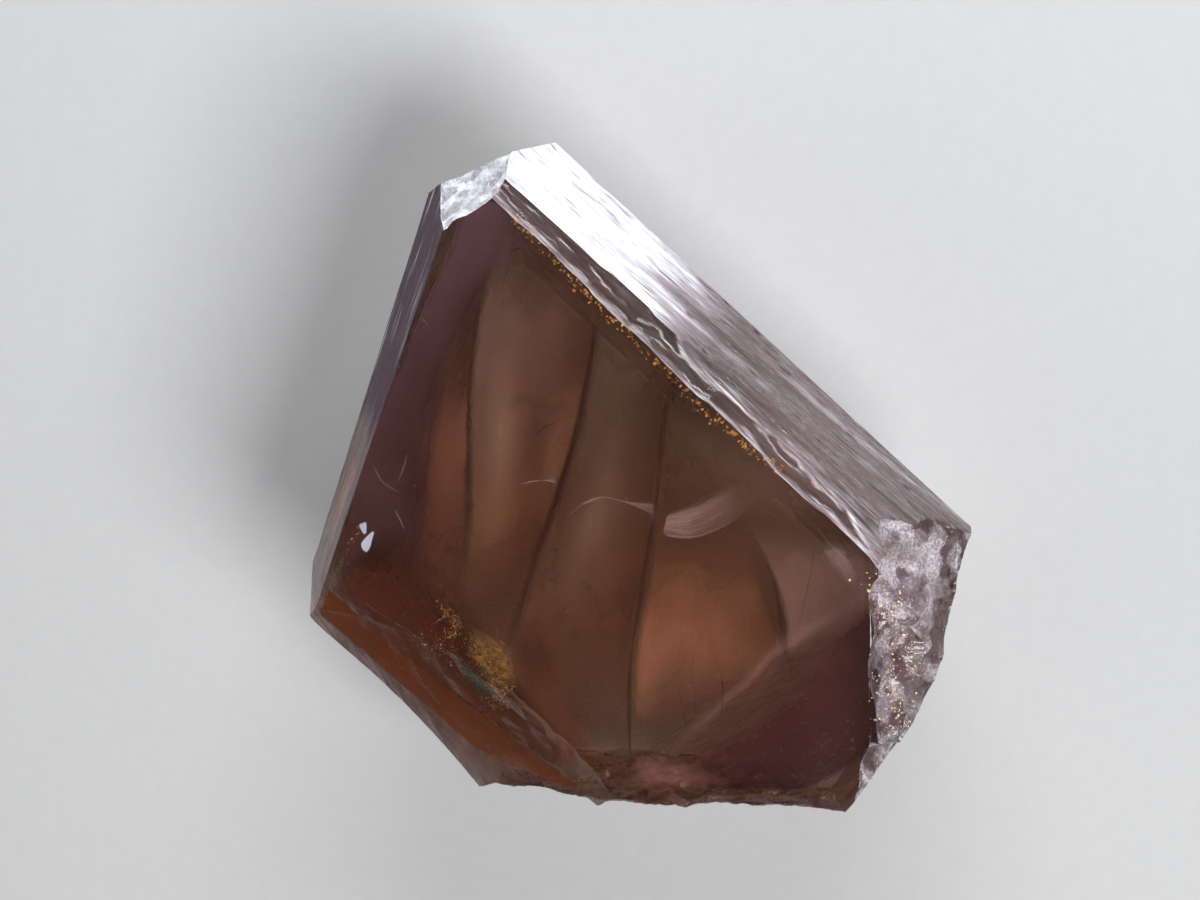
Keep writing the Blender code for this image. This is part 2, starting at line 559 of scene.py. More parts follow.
@dataclass(frozen=True)
class Ledged(Skin):
    """The narrow strip beside the polished face, with two wandering white ledges along it."""

    edge_face: Facet | None = None
    edge_sine: float = 0.469
    second_from: float = 5.5
    second_to: float = 3.0

    def off_edge(self, spot: Spot) -> float:
        """How far a spot is from the polished face, in millimetres along the strip."""
        return -self.edge_face.distance(spot.place) / self.edge_sine

    def first_width(self, spot: Spot) -> float:
        """The width of the worn ledge at the polished face's edge."""
        return 0.3 + 0.15 * self.wave(spot, 0.35, 0.0, 1.0) + 0.1 * self.wave(spot, 1.3, 0.0, 2.0)

    def second_place(self, spot: Spot) -> float:
        """How far off the edge the second ledge runs; it meets the first at its low end."""
        wander = 0.42 * self.wave(spot, 0.3, 0.0, 3.0) + 0.18 * self.wave(spot, 1.1, 0.0, 4.0)
        start = eased(self.second_to, self.second_from, spot.along)
        meet = eased(-9.0, -13.0, spot.along)
        return (1.3 + wander) * (1.0 - meet) + 0.4 * meet + 1.4 * start

    def hair(self, spot: Spot, layer: float, rest: float) -> float:
        """How much of a fine wandering line there is at a spot, from 0 to 1.

        Args:
            spot: where it is read.
            layer: which of the lines is read.
            rest: how far off the edge the line runs, about.

        Returns:
            The share of the line.
        """
        place = rest + 0.35 * self.wave(spot, 0.45, 0.0, layer)
        place += 0.1 * self.wave(spot, 1.7, 0.0, layer)
        shown = eased(-0.1, 0.25, self.wave(spot, 0.4, 0.0, layer + 20.0))
        return shown * eased(0.09, 0.02, abs(self.off_edge(spot) - place))

    def depth(self, spot: Spot) -> float:
        """A step down at each ledge, over low ridges."""
        off = self.off_edge(spot)
        second = self.second_place(spot)
        ridges = 0.5 + 0.5 * self.wave(spot, 0.25, 3.0, 5.0)
        first = eased(0.0, self.first_width(spot), off)
        steps = 0.5 * first + eased(second - 0.08, second + 0.06, off)
        hairs = 0.4 * (self.hair(spot, 11.0, 0.6) + self.hair(spot, 13.0, 1.1))
        return self.height * (0.35 * ridges + steps + hairs)

    def frost_and_highlight(self, spot: Spot) -> float:
        """White on the ledges, on the fine lines, and beyond the second ledge."""
        off = self.off_edge(spot)
        streak = 0.7 + 0.8 * self.wave(spot, 0.4, 6.0, 6.0)
        width = self.first_width(spot)
        first = eased(width * 1.5, width * 0.6, off) * 0.62
        second = self.second_place(spot)
        far = eased(0.4, 0.1, off - second) if off > second else eased(0.14, 0.04, second - off)
        beyond = eased(second, second + 0.1, off) * 0.35
        hairs = 0.7 * max(self.hair(spot, 11.0, 0.6), self.hair(spot, 13.0, 1.1))
        clear = self.whiteness * (1.0 + self.wave(spot, 0.2, 2.5, 8.0))
        white = max(first * streak, far * 0.75 * streak, beyond * streak, hairs, clear)
        return min(1.0, white)


@dataclass(frozen=True)
class Broken(Skin):
    """A break across the grain: small tilted planes with steps between them."""

    grain_size: float = 0.7
    patches: float = 0.5
    darkness: float = 0.0

    def dark_tone_and_shade(self, spot: Spot) -> float:
        """Dark facets, each of one tone."""
        centre = noise.voronoi(spot.place / (1.4 * self.grain_size))[1][0]
        tone = noise.noise(centre * 2.3 + Vector((0.0, self.seed, 0.0)))
        return self.darkness * eased(-0.25, 0.35, tone)

    def plane(self, place: Vector, size: float) -> float:
        """The height of a patchwork of tilted planes of a size in millimetres, about -1 to 1."""
        scaled = place / size
        centre = noise.voronoi(scaled)[1][0]
        tilt = noise.noise_vector(centre * 3.7 + Vector((self.seed, 0.0, 0.0)))
        return 1.6 * tilt.dot(scaled - centre)

    def depth(self, spot: Spot) -> float:
        """How far the small planes go below the break."""
        coarse = self.plane(spot.place, self.grain_size * 2.2)
        fine = self.plane(spot.place, self.grain_size)
        height = 0.5 + 0.3 * coarse + 0.2 * fine
        return self.height * min(1.0, max(0.0, height))

    def frost_and_highlight(self, spot: Spot) -> float:
        """White in patches."""
        patch = noise.noise(spot.place * 0.55 + Vector((self.seed, 3.0, 0.0)))
        fine = noise.noise(spot.place * 2.1 + Vector((self.seed, 9.0, 0.0)))
        white = self.whiteness * (1.0 + self.patches * 2.0 * (0.65 * patch + 0.35 * fine))
        return min(1.0, max(0.0, white))


@dataclass(frozen=True)
class Shell(Skin):
    """A smooth shell-shaped break with ripples round the point where it started."""

    start: tuple[float, float, float] = (0.0, 0.0, 0.0)
    spacing: float = 1.1

    def ripple(self, spot: Spot) -> float:
        """The ripple at a spot, from -1 to 1."""
        away = (spot.place - Vector(self.start)).length
        shift = 1.2 * noise.noise(spot.place * 0.25 + Vector((self.seed, 0.0, 0.0)))
        return math.sin(math.tau * (away / self.spacing + shift))

    def depth(self, spot: Spot) -> float:
        """How far the ripples go below the break."""
        fine = noise.noise(spot.place * 1.6)
        return self.height * (0.5 + 0.32 * self.ripple(spot) + 0.18 * fine)

    def frost_and_highlight(self, spot: Spot) -> float:
        """Thin white streaks along the ripples."""
        streak = 0.6 + 0.5 * self.ripple(spot) * noise.noise(spot.place * 0.8) * 2.0
        return min(1.0, max(0.0, self.whiteness * (0.5 + streak)))


@dataclass(frozen=True)
class Cleaved(Skin):
    """A split along the grain: long low steps that overlap like shingles."""

    step: float = 1.4

    def depth(self, spot: Spot) -> float:
        """How far the steps go below the face."""
        place = spot.across / self.step + 0.55 * self.wave(spot, 0.12, 0.15, 1.0)
        part = place - math.floor(place)
        fine = 0.5 + 0.5 * self.wave(spot, 0.3, 1.6, 2.0)
        return self.height * (0.75 * part * eased(1.0, 0.93, part) + 0.25 * fine)

    def frost_and_highlight(self, spot: Spot) -> float:
        """A little white in streaks."""
        return max(0.0, self.whiteness * (1.0 + 1.6 * self.wave(spot, 0.25, 2.0, 3.0)))


@dataclass(frozen=True)
class Face:
    """A face of the crystal: where it lies, its fine surface, and whether it is one plane."""

    facet: Facet
    skin: Skin
    level: bool = True

    def spot(self, place: Vector) -> Spot:
        """The spot on the face's grain of a place in millimetres."""
        with_grain, across = self.grain()
        off = place - self.facet.point()
        return Spot(place, off.dot(with_grain), off.dot(across))

    def grain(self) -> tuple[Vector, Vector]:
        """Unit vectors along and across the grain, in the face."""
        turn = math.radians(self.skin.turn)
        along = self.facet.along()
        up = self.facet.out().cross(along)
        with_grain = along * math.cos(turn) + up * math.sin(turn)
        return with_grain, up * math.cos(turn) - along * math.sin(turn)


TOP = 16.0
BASE = 0.0
POLISHED = Facet(230.0, 87.0, 0.0, TOP)
BACK_PRISM = Facet(163.0, -28.5, 11.5, BASE)
BACK_PYRAMID = Facet(47.9, -33.0, 3.2, BASE)
BACK_TIP = Facet(105.0, -40.0, 13.2, BASE)
BACK_LOWER_LEFT = Facet(-142.5, -20.0, 15.9, BASE)
BACK_LOWER_RIGHT = Facet(-52.0, -33.0, 14.2, BASE)
FACES = {
    "polished_face": Face(POLISHED, Plain(0.0, 0.0, 0.0, 0.02, 0.0, texture=Texture.SMOOTH)),
    "base": Face(
        Facet(0.0, -90.0, 0.0, BASE),
        Plain(0.9, 0.9, 0.0, 0.35, 0.3, texture=Texture.BROKEN, rubbed=0.9,
              border=(BACK_PRISM, BACK_PYRAMID, BACK_TIP, BACK_LOWER_LEFT, BACK_LOWER_RIGHT)),
    ),
    # Its white rises along the face to full at the far end: a painted highlight over the frosted
    # face, with painted shade in its pits and grooves.
    "pyramid_face": Face(
        Facet(47.9, 30.0, 7.45, TOP),
        Striated(0.28, 0.085, 0.09, 0.22, 0.22, 3.0, 1.7, far_whiteness=1.0,
                 white_from=1.0, white_to=8.5, streaks=0.6, pits=1.0,
                 pits_under=-5.5, grooves=0.35, calm=0.6),
    ),
    # Its white towards the tip is a painted sheen over the frosted face, its dark grooves are
    # painted shade standing in for a dark reflection, and its lower part stays clear.
    "prism_face": Face(
        Facet(161.4, 23.5, 15.1, TOP),
        Striated(0.3, 0.09, 0.09, 0.12, 1.0, 0.0, 5.2, far_whiteness=0.04,
                 white_from=1.0, white_to=4.5, streaks=0.3, pits=0.2, grooves=0.92),
    ),
    "back_prism": Face(
        BACK_PRISM,
        Striated(0.8, 0.25, 0.07, 0.3, 0.3, 0.0, 8.1, rubbed=0.9, far_whiteness=0.3, streaks=0.3),
    ),
    "back_pyramid": Face(
        BACK_PYRAMID,
        Striated(0.8, 0.25, 0.07, 0.3, 0.35, 0.0, 9.4, rubbed=0.9, far_whiteness=0.35, streaks=0.3),
    ),
    "tip_wall": Face(
        Facet(110.8, -7.0, 18.2, BASE),
        Striated(0.4, 0.2, 0.08, 0.2, 0.35, 20.0, 2.4, far_whiteness=0.35),
    ),
    "back_tip": Face(
        BACK_TIP,
        Striated(0.5, 0.3, 0.08, 0.15, 0.25, 0.0, 3.3, rubbed=0.9, far_whiteness=0.25),
    ),
    "back_lower_left": Face(
        BACK_LOWER_LEFT, Cleaved(0.8, 0.35, 0.015, 0.5, 0.4, 25.0, 1.1, rubbed=0.9)
    ),
    "back_lower_right": Face(
        BACK_LOWER_RIGHT, Cleaved(0.8, 0.35, 0.02, 0.4, 0.15, 10.0, 6.1, rubbed=0.35)
    ),
    "cleavage_lower_right": Face(
        Facet(-40.0, -15.0, 17.5, BASE), Cleaved(0.5, 0.25, 0.07, 0.15, 0.1, 10.0, 4.1)
    ),
    "cleavage_right": Face(
        Facet(-15.0, -20.0, 15.1, BASE), Cleaved(0.5, 0.25, 0.07, 0.15, 0.1, 10.0, 7.7)
    ),
    "ridge_strip": Face(
        Facet(46.6, 65.0, 6.83, TOP),
        Ledged(0.2, 0.07, 0.1, 0.06, 0.05, 0.0, 3.9, edge_face=POLISHED),
        level=False,
    ),
    # Its strong white is partly frosted break and partly a painted highlight.
    "tip_break": Face(
        Facet(126.0, 33.0, 18.0, TOP),
        Broken(0.15, 0.15, 0.25, 0.2, 0.95, 0.0, 2.9, Texture.BROKEN, 0.0, 0.4, 0.3, 0.45),
        level=False,
    ),
    "scoop": Face(
        Facet(-124.0, 55.0, 16.1, TOP),
        Shell(0.28, 0.28, 0.035, 0.08, 0.0, 0.0, 1.3, Texture.BROKEN, 0.0, (-6.0, -10.0, 15.0)),
        level=False,
    ),
    "right_break": Face(
        Facet(1.0, 46.0, 13.7, TOP),
        Broken(0.17, 0.17, 0.32, 0.08, 0.32, 0.0, 4.4, Texture.BROKEN, 0.0, 0.7, 1.0, 0.9),
        level=False,
    ),
    "corner_chip": Face(
        Facet(-8.0, 50.0, 15.1, TOP),
        Broken(0.17, 0.17, 0.2, 0.1, 0.5, 0.0, 5.5, Texture.BROKEN, 0.0, 0.5, 0.6, 0.85),
        level=False,
    ),
    "foot_break": Face(
        Facet(-87.7, -4.0, 19.5, TOP),
        Broken(0.24, 0.24, 0.3, 0.12, 0.3, 0.0, 6.6, Texture.BROKEN, 0.0, 0.7, 0.8, 0.9),
        level=False,
    ),
}
FACE_NAMES = list(FACES)


def face_name(normal: Vector, place: Vector) -> str:
    """The face of the crystal that a polygon belongs to.

    Args:
        normal: the polygon's normal.
        place: its middle, in millimetres.

    Returns:
        The name of the face in FACES.
    """
    scores = {}
    for name, face in FACES.items():
        angle = math.degrees(face.facet.out().angle(normal, 0.0))
        distance = abs(face.facet.distance(place))
        if face.level:
            matches = angle < LEVEL_ANGLE and distance < LEVEL_GAP
            scores[name] = 0.0 if matches else RULED_OUT
        else:
            scores[name] = distance + angle / DEGREES_PER_MM
    return min(scores, key=scores.get)


@dataclass
class CrystalBody:
    """The crystal itself: the frame's solid with its fine relief and its one clear material."""

    finish: "CrystalFinish"
    guard: float = 0.4
    merge: float = 0.002
    skim: float = 0.005
    close: float = 0.25
    share: float = 0.3
    slope: float = 0.5
    rounds: int = 20
    name: str = "crystal_body"
    bm: bmesh.types.BMesh = field(default_factory=bmesh.new)
    tree: BVHTree | None = None

    def merged(self) -> None:
        """Starts from the frame's solid, with its doubles merged and its level faces whole."""
        self.bm.from_mesh(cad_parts[NODE].data)
        bmesh.ops.remove_doubles(self.bm, verts=self.bm.verts, dist=DOUBLES)
        bmesh.ops.recalc_face_normals(self.bm, faces=self.bm.faces)
        self.region = self.bm.faces.layers.int.new("region")
        for polygon in self.bm.faces:
            name = face_name(polygon.normal, self.millimetres(polygon.calc_center_median()))
            polygon[self.region] = FACE_NAMES.index(name)
        seams = []
        for edge in self.bm.edges:
            kinds = {polygon[self.region] for polygon in edge.link_faces}
            if len(kinds) == 1 and FACES[FACE_NAMES[kinds.pop()]].level:
                seams.append(edge)
        bmesh.ops.dissolve_edges(self.bm, edges=seams, use_verts=False)

    @staticmethod
    def millimetres(place: Vector) -> Vector:
        """A place of the mesh, in millimetres off the block's middle line."""
        return place / MM - MIDDLE_LINE

    def polygons(self, index: int) -> list[bmesh.types.BMFace]:
        """The polygons of one face of the crystal."""
        return [polygon for polygon in self.bm.faces if polygon[self.region] == index]

    def split(self, polygons: list, axis: Vector, low: float, high: float, size: float) -> None:
        """Cuts polygons by planes across an axis, halving again and again.

        Args:
            polygons: the polygons to cut.
            axis: the unit vector that the planes stand across.
            low: where along the axis, in metres, the polygons start.
            high: where they end.
            size: the widest strip that is left whole, in metres.
        """
        if high - low < 1.5 * size or not polygons:
            return
        steps = max(2, round((high - low) / size))
        middle = low + (high - low) * (steps // 2) / steps
        geometry = dict.fromkeys(polygons)
        for polygon in polygons:
            geometry.update(dict.fromkeys(polygon.edges))
            geometry.update(dict.fromkeys(polygon.verts))
        cut = bmesh.ops.bisect_plane(
            self.bm,
            geom=list(geometry),
            dist=ON_PLANE,
            plane_co=axis * middle,
            plane_no=axis,
        )
        parts = [item for item in cut["geom"] if isinstance(item, bmesh.types.BMFace)]
        under = [item for item in parts if item.calc_center_median().dot(axis) < middle]
        over = [item for item in parts if item.calc_center_median().dot(axis) >= middle]
        self.split(under, axis, low, middle, size)
        self.split(over, axis, middle, high, size)

    def cut_cells(self) -> None:
        """Cuts each face that has a fine surface into the cells of its skin, the coarse first."""
        skinned = [item for item in enumerate(FACES.values()) if item[1].skin.cell_along > 0.0]
        for index, face in sorted(skinned, key=self.cell_count):
            sizes = (face.skin.cell_along, face.skin.cell_across)
            for axis, size in zip(face.grain(), sizes):
                polygons = self.polygons(index)
                places = [v.co.dot(axis) for polygon in polygons for v in polygon.verts]
                self.split(polygons, axis, min(places), max(places), size * MM)

    def cell_count(self, item: tuple[int, Face]) -> float:
        """About how many cells a numbered face of the crystal is cut into."""
        index, face = item
        area = sum(polygon.calc_area() for polygon in self.polygons(index))
        return area / (face.skin.cell_along * face.skin.cell_across * MM * MM)

    def hold(self, place: Vector) -> float:
        """0 at the sides of the solid's box, so that its size stays, and 1 away from them."""
        low, high = CAD_BOX
        gaps = [place[axis] - low[axis] for axis in range(3)]
        gaps += [high[axis] - place[axis] for axis in range(3)]
        return eased(0.0, self.guard, min(gaps) / MM)

    def room(self, solid: BVHTree, vertex: bmesh.types.BMVert, move: Vector) -> float:
        """The share of a move that a thin edge of the solid leaves room for.

        Args:
            solid: the surface before it is carved.
            vertex: what moves.
            move: the move into the solid, in metres.
        """
        if not move.length:
            return 1.0
        gap = solid.ray_cast(vertex.co - vertex.normal * self.skim * MM, move)[3]
        return 1.0 if gap is None else min(1.0, self.share * gap / move.length)

    def carve(self) -> None:
        """Sinks the surface by the depth of its skins, and keeps the plain faces flat."""
        faces = list(FACES.values())
        plain = [index for index, face in enumerate(faces) if isinstance(face.skin, Plain)]
        self.bm.normal_update()
        solid = BVHTree.FromBMesh(self.bm)
        moves = {}
        for vertex in self.bm.verts:
            kinds = sorted({polygon[self.region] for polygon in vertex.link_faces})
            if all(kind in plain for kind in kinds):
                continue
            place = self.millimetres(vertex.co)
            carved = [faces[kind] for kind in kinds if kind not in plain]
            move = Vector()
            for face in carved:
                sunk = face.facet.out() * face.skin.depth(face.spot(place)) * -MM
                move += sunk * self.room(solid, vertex, sunk) / len(carved)
            for kind in kinds:
                if kind in plain:
                    out = faces[kind].facet.out()
                    move -= out * out.dot(move)
            moves[vertex] = move * self.hold(vertex.co)
        self.calm(moves)
        for vertex, move in moves.items():
            vertex.co += move

    def calm(self, moves: dict[bmesh.types.BMVert, Vector]) -> None:
        """Evens out the moves of vertices that lie close together, so that nothing folds over.

        Args:
            moves: how far each vertex is about to move; the others stay.
        """
        close = [
            (*edge.verts, self.slope * edge.calc_length())
            for edge in self.bm.edges
            if edge.calc_length() < self.close * MM
        ]
        still = Vector()
        for _ in range(self.rounds):
            for first, second, limit in close:
                apart = moves.get(second, still) - moves.get(first, still)
                if apart.length > limit:
                    excess = apart * (1.0 - limit / apart.length)
                    free = (first in moves) + (second in moves)
                    if first in moves:
                        moves[first] += excess / free
                    if second in moves:
                        moves[second] -= excess / free

    def triangulate(self) -> None:
        """Cuts polygons of more than four corners into triangles, and keeps the mesh closed.

        A diagonal may join two corners that an edge outside the polygon joins already.  It is the
        same edge then, with four faces, so the polygon's two triangles at it become a fan.
        """
        corners = [polygon for polygon in self.bm.faces if len(polygon.verts) > MOST_CORNERS]
        cut = bmesh.ops.triangulate(
            self.bm, faces=corners, quad_method="BEAUTY", ngon_method="BEAUTY"
        )
        for edge in [edge for edge in self.bm.edges if len(edge.link_faces) > 2]:
            pairs = {}
            for triangle in edge.link_faces:
                pairs.setdefault(cut["face_map"].get(triangle, triangle), []).append(triangle)
            for pair in pairs.values():
                if len(pair) == 2 and len(edge.link_faces) > 2:
                    self.fan(pair, edge)

    def fan(self, pair: list[bmesh.types.BMFace], edge: bmesh.types.BMEdge) -> None:
        """Puts four triangles round a new vertex in place of the two at an edge.

        Args:
            pair: the two triangles.
            edge: the edge that they leave to the other faces at it.
        """
        corners = [vertex.co for triangle in pair for vertex in triangle.verts]
        middle = self.bm.verts.new(sum(corners, Vector()) / len(corners))
        for triangle in pair:
            for loop in list(triangle.loops):
                if loop.edge != edge:
                    ends = (loop.vert, loop.link_loop_next.vert, middle)
                    self.bm.faces.new(ends, triangle)
            self.bm.faces.remove(triangle)

    def paint(self) -> None:
        """Stores the white with its painted highlights, the darkness with its painted shade, the
        roughness and the grain of the surface on the mesh.
        """
        layers = self.bm.loops.layers
        frost_and_highlight = layers.float.new("frost_and_highlight")
        satin = layers.float.new("satin")
        dark_tone_and_shade = layers.float.new("dark_tone_and_shade")
        striae = layers.float.new("striae")
        hackle = layers.float.new("hackle")
        grain = layers.uv.new("grain")
        faces = list(FACES.values())
        known = {}
        for polygon in self.bm.faces:
            kind = polygon[self.region]
            face = faces[kind]
            for loop in polygon.loops:
                key = (kind, loop.vert)
                if key not in known:
                    spot = face.spot(self.millimetres(loop.vert.co))
                    skin = face.skin
                    known[key] = (skin.whitened(spot), skin.dark_tone_and_shade(spot), (spot.along, spot.across))
                loop[frost_and_highlight], loop[dark_tone_and_shade], loop[grain].uv = known[key]
                loop[satin] = face.skin.satin
                loop[striae] = 1.0 if face.skin.texture is Texture.STRIATED else 0.0
                loop[hackle] = 1.0 if face.skin.texture is Texture.BROKEN else 0.0

    def shade(self) -> None:
        """Smooths the grown faces, and leaves breaks and the edges between faces sharp."""
        faces = list(FACES.values())
        for polygon in self.bm.faces:
            polygon.smooth = faces[polygon[self.region]].skin.texture is Texture.STRIATED
        for edge in self.bm.edges:
            kinds = {polygon[self.region] for polygon in edge.link_faces}
            edge.smooth = len(kinds) == 1

    def build(self) -> bpy.types.Object:
        """Makes the piece that stands for the frame's solid.

        Returns:
            The piece.
        """
        self.merged()
        self.cut_cells()
        bmesh.ops.dissolve_degenerate(self.bm, dist=self.merge * MM, edges=self.bm.edges)
        self.carve()
        self.triangulate()
        self.bm.normal_update()
        self.paint()
        self.shade()
        self.tree = BVHTree.FromBMesh(self.bm)
        piece = place_mesh(self.bm, self.name, self.finish.build())
        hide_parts(NODE)
        return piece

    def under(self, x: float, y: float, depth: float) -> Vector | None:
        """A place in metres that lies a depth in millimetres below the surface at x, y, if any."""
        above = spot_at(x, y, 2.0 * TOP)
        hit = self.tree.ray_cast(above, -UP)[0]
        return None if hit is None else hit - UP * depth * MM


# ---------------------------------------------------------------------------------------------
# What is sealed in the crystal, and sheets and specks that paint glints and a reflection
# ---------------------------------------------------------------------------------------------


Pair = tuple[Colour, Colour]
SHARES = ("haze", "along", "across")


@dataclass(frozen=True)
class HazeFinish:
    """Thin milky growth haze that is streaked along the crystal; the same finish also paints a
    glint and a warm reflection.

    `start` and `end` hold the colours of its first and second sides, at its two ends.
    """

    name: str
    start: Pair
    end: Pair
    strength: float = 0.6
    streaks: float = 0.1
    clouds: float = 0.12
    mottle: float = 0.12
    scale: tuple[float, float] = (3.0, 26.0)
    roughness: float = 0.9
    metallic: float = 0.0

    def build(self) -> bpy.types.Material:
        """Makes the material.

        Returns:
            The material.
        """
        shading = Shading.named(self.name)
        place = shading.object_place()
        grain = shading.grain_place()
        streak = shading.noise(shading.stretched(grain, (*self.scale, 1.0)), 1.0, 3.0, 0.55, 0.4)
        cloud = shading.noise(place, 260.0, 3.0, 0.6)
        speckle = shading.noise(place, 2600.0, 2.0, 0.7)
        across = (shading.attribute("across") + (cloud - 0.5) * 0.7).clamped()
        along = (shading.attribute("along") + (cloud - 0.5) * 0.5).clamped()
        streaked = 1.0 - self.streaks + 2.0 * self.streaks * streak
        clouded = 1.0 - self.clouds + 2.0 * self.clouds * cloud
        mottled = 1.0 - self.mottle + 2.0 * self.mottle * speckle
        veil = shading.attribute("haze") * self.strength * streaked * clouded * mottled
        first = shading.mixed(across, *self.start)
        second = shading.mixed(across, *self.end)
        surface = shading.node(
            "ShaderNodeBsdfPrincipled",
            {},
            {
                "Base Color": shading.mixed(along, first, second),
                "Roughness": self.roughness,
                "Metallic": self.metallic,
                "Specular IOR Level": 0.0 if self.metallic == 0.0 else 0.5,
                "Alpha": veil.clamped(),
            },
        )
        return shading.finish(surface)


@dataclass(frozen=True)
class Line:
    """A smooth line through a few places in millimetres."""

    places: tuple[Place, ...]

    def at(self, share: float) -> Vector:
        """The place on the line at a share of its length, from 0 to 1."""
        spans = len(self.places) - 1
        index = min(spans - 1, int(share * spans))
        part = share * spans - index
        ends = [
            Vector(self.places[min(spans, max(0, index + step))]) for step in (-1, 0, 1, 2)
        ]
        before, start, end, after = ends
        straight = start * 2.0
        slope = (end - before) * part
        bend = (before * 2.0 - start * 5.0 + end * 4.0 - after) * part**2
        twist = (start * 3.0 - before - end * 3.0 + after) * part**3
        return (straight + slope + bend + twist) * 0.5

    def beside(self, gap: float) -> "Line":
        """The same line moved level and sideways by a gap."""
        run = Vector(self.places[-1]) - Vector(self.places[0])
        side = UP.cross(run).normalized() * gap
        return Line(tuple(tuple(Vector(place) + side) for place in self.places))


def level(height: float, *places: tuple[float, float]) -> Line:
    """The line through places that all lie at one height."""
    return Line(tuple((x, y, height) for x, y in places))


@dataclass(frozen=True)
class Fades:
    """The shares of a veil over which it fades in from its first and second sides and its ends."""

    first: float = 0.3
    second: float = 0.3
    start: float = 0.2
    end: float = 0.2


@dataclass(frozen=True)
class Sheet:
    """A thin sheet between two lines, thick in its middle and fading out at its border.

    One that is `sunk` lies that many millimetres below the crystal's surface.
    """

    first: Line
    second: Line
    fades: Fades = Fades()
    wander: float = 0.15
    cells: tuple[int, int] = (48, 20)
    sunk: float = 0.0

    def haze(self, along: float, across: float, seed: float) -> float:
        """How thick the sheet is at a place on it, from 0 to 1."""
        fades = self.fades
        bend = noise.noise(Vector((along * 5.0, across * 2.5, seed)))
        stray = noise.noise(Vector((along * 4.0, across * 5.0, seed + 7.0)))
        sides = eased(0.0, fades.first * (1.0 + 0.4 * bend), across)
        sides *= eased(1.0, 1.0 - fades.second * (1.0 - 0.4 * bend), across)
        ends = eased(0.0, fades.start * (1.0 + 0.35 * stray), along)
        ends *= eased(1.0, 1.0 - fades.end * (1.0 - 0.35 * stray), along)
        rim = eased(0.0, 0.04, min(along, 1.0 - along))
        rim *= eased(0.0, 0.03, min(across, 1.0 - across))
        return sides * ends * rim

    def add(self, bm: bmesh.types.BMesh, seed: float, body: CrystalBody) -> None:
        """Adds the sheet to a mesh.

        Args:
            bm: the mesh.
            seed: what sets its waves apart from those of other sheets.
            body: the crystal that the sheet is sealed in.
        """
        layers = bm.loops.layers
        if not bm.faces:
            layers.uv.new("grain")
            for name in SHARES:
                layers.float.new(name)
        grain = layers.uv["grain"]
        shares = {name: layers.float[name] for name in SHARES}
        rows, columns = self.cells
        made = bmesh.ops.create_grid(bm, x_segments=rows, y_segments=columns, size=0.5)
        places = {vertex: (vertex.co.x + 0.5, vertex.co.y + 0.5) for vertex in made["verts"]}
        length = (self.first.at(0.0) - self.first.at(1.0)).length
        for vertex, (along, across) in places.items():
            place = self.first.at(along).lerp(self.second.at(along), across)
            place += noise.noise_vector(place * 0.35 + Vector((seed, 0.0, 0.0))) * self.wander
            below = body.under(place.x, place.y, self.sunk) if self.sunk else None
            vertex.co = below or (place + MIDDLE_LINE) * MM
        for polygon in {face for vertex in places for face in vertex.link_faces}:
            polygon.smooth = True
            for loop in polygon.loops:
                along, across = places[loop.vert]
                loop[grain].uv = (along * length * 0.1, across)
                loop[shares["haze"]] = self.haze(along, across, seed)
                loop[shares["along"]] = along
                loop[shares["across"]] = across


@dataclass(frozen=True)
class Veil:
    """A growth band, a crack, a feather, a painted glint or a painted reflection: one or more thin
    sheets in the crystal.
    """

    name: str
    finish: HazeFinish
    sheets: tuple[Sheet, ...]

    def build(self, body: CrystalBody) -> bpy.types.Object:
        """Makes the piece.

        Args:
            body: the crystal that the veil is sealed in.

        Returns:
            The piece.
        """
        bm = bmesh.new()
        for index, sheet in enumerate(self.sheets):
            sheet.add(bm, len(self.name) + 10.0 * index, body)
        bmesh.ops.recalc_face_normals(bm, faces=bm.faces)
        return place_mesh(bm, self.name, self.finish.build())


def threads(width: float, *runs: tuple[Place, ...]) -> tuple[Sheet, ...]:
    """Narrow ribbons of one width along short runs of places, all in millimetres."""
    fades = Fades(0.5, 0.5, 0.35, 0.35)
    return tuple(
        Sheet(Line(run).beside(-width / 2), Line(run).beside(width / 2), fades, 0.08, (16, 4))
        for run in runs
    )


def even(colour: Colour) -> Pair:
    """The same colour for both sides."""
    return (colour, colour)


FEATHER = HazeFinish(
    "feather", ((0.95, 0.76, 0.68), (0.85, 0.60, 0.60)), ((0.7, 0.5, 0.48), (0.6, 0.36, 0.4)),
    0.62, 0.9, 0.4, 0.3, (3.0, 18.0), 0.4,
)
DARK_LINE = HazeFinish(
    "dark_line", even((0.10, 0.04, 0.03)), even((0.12, 0.05, 0.05)), 0.4, 0.3, 0.3
)

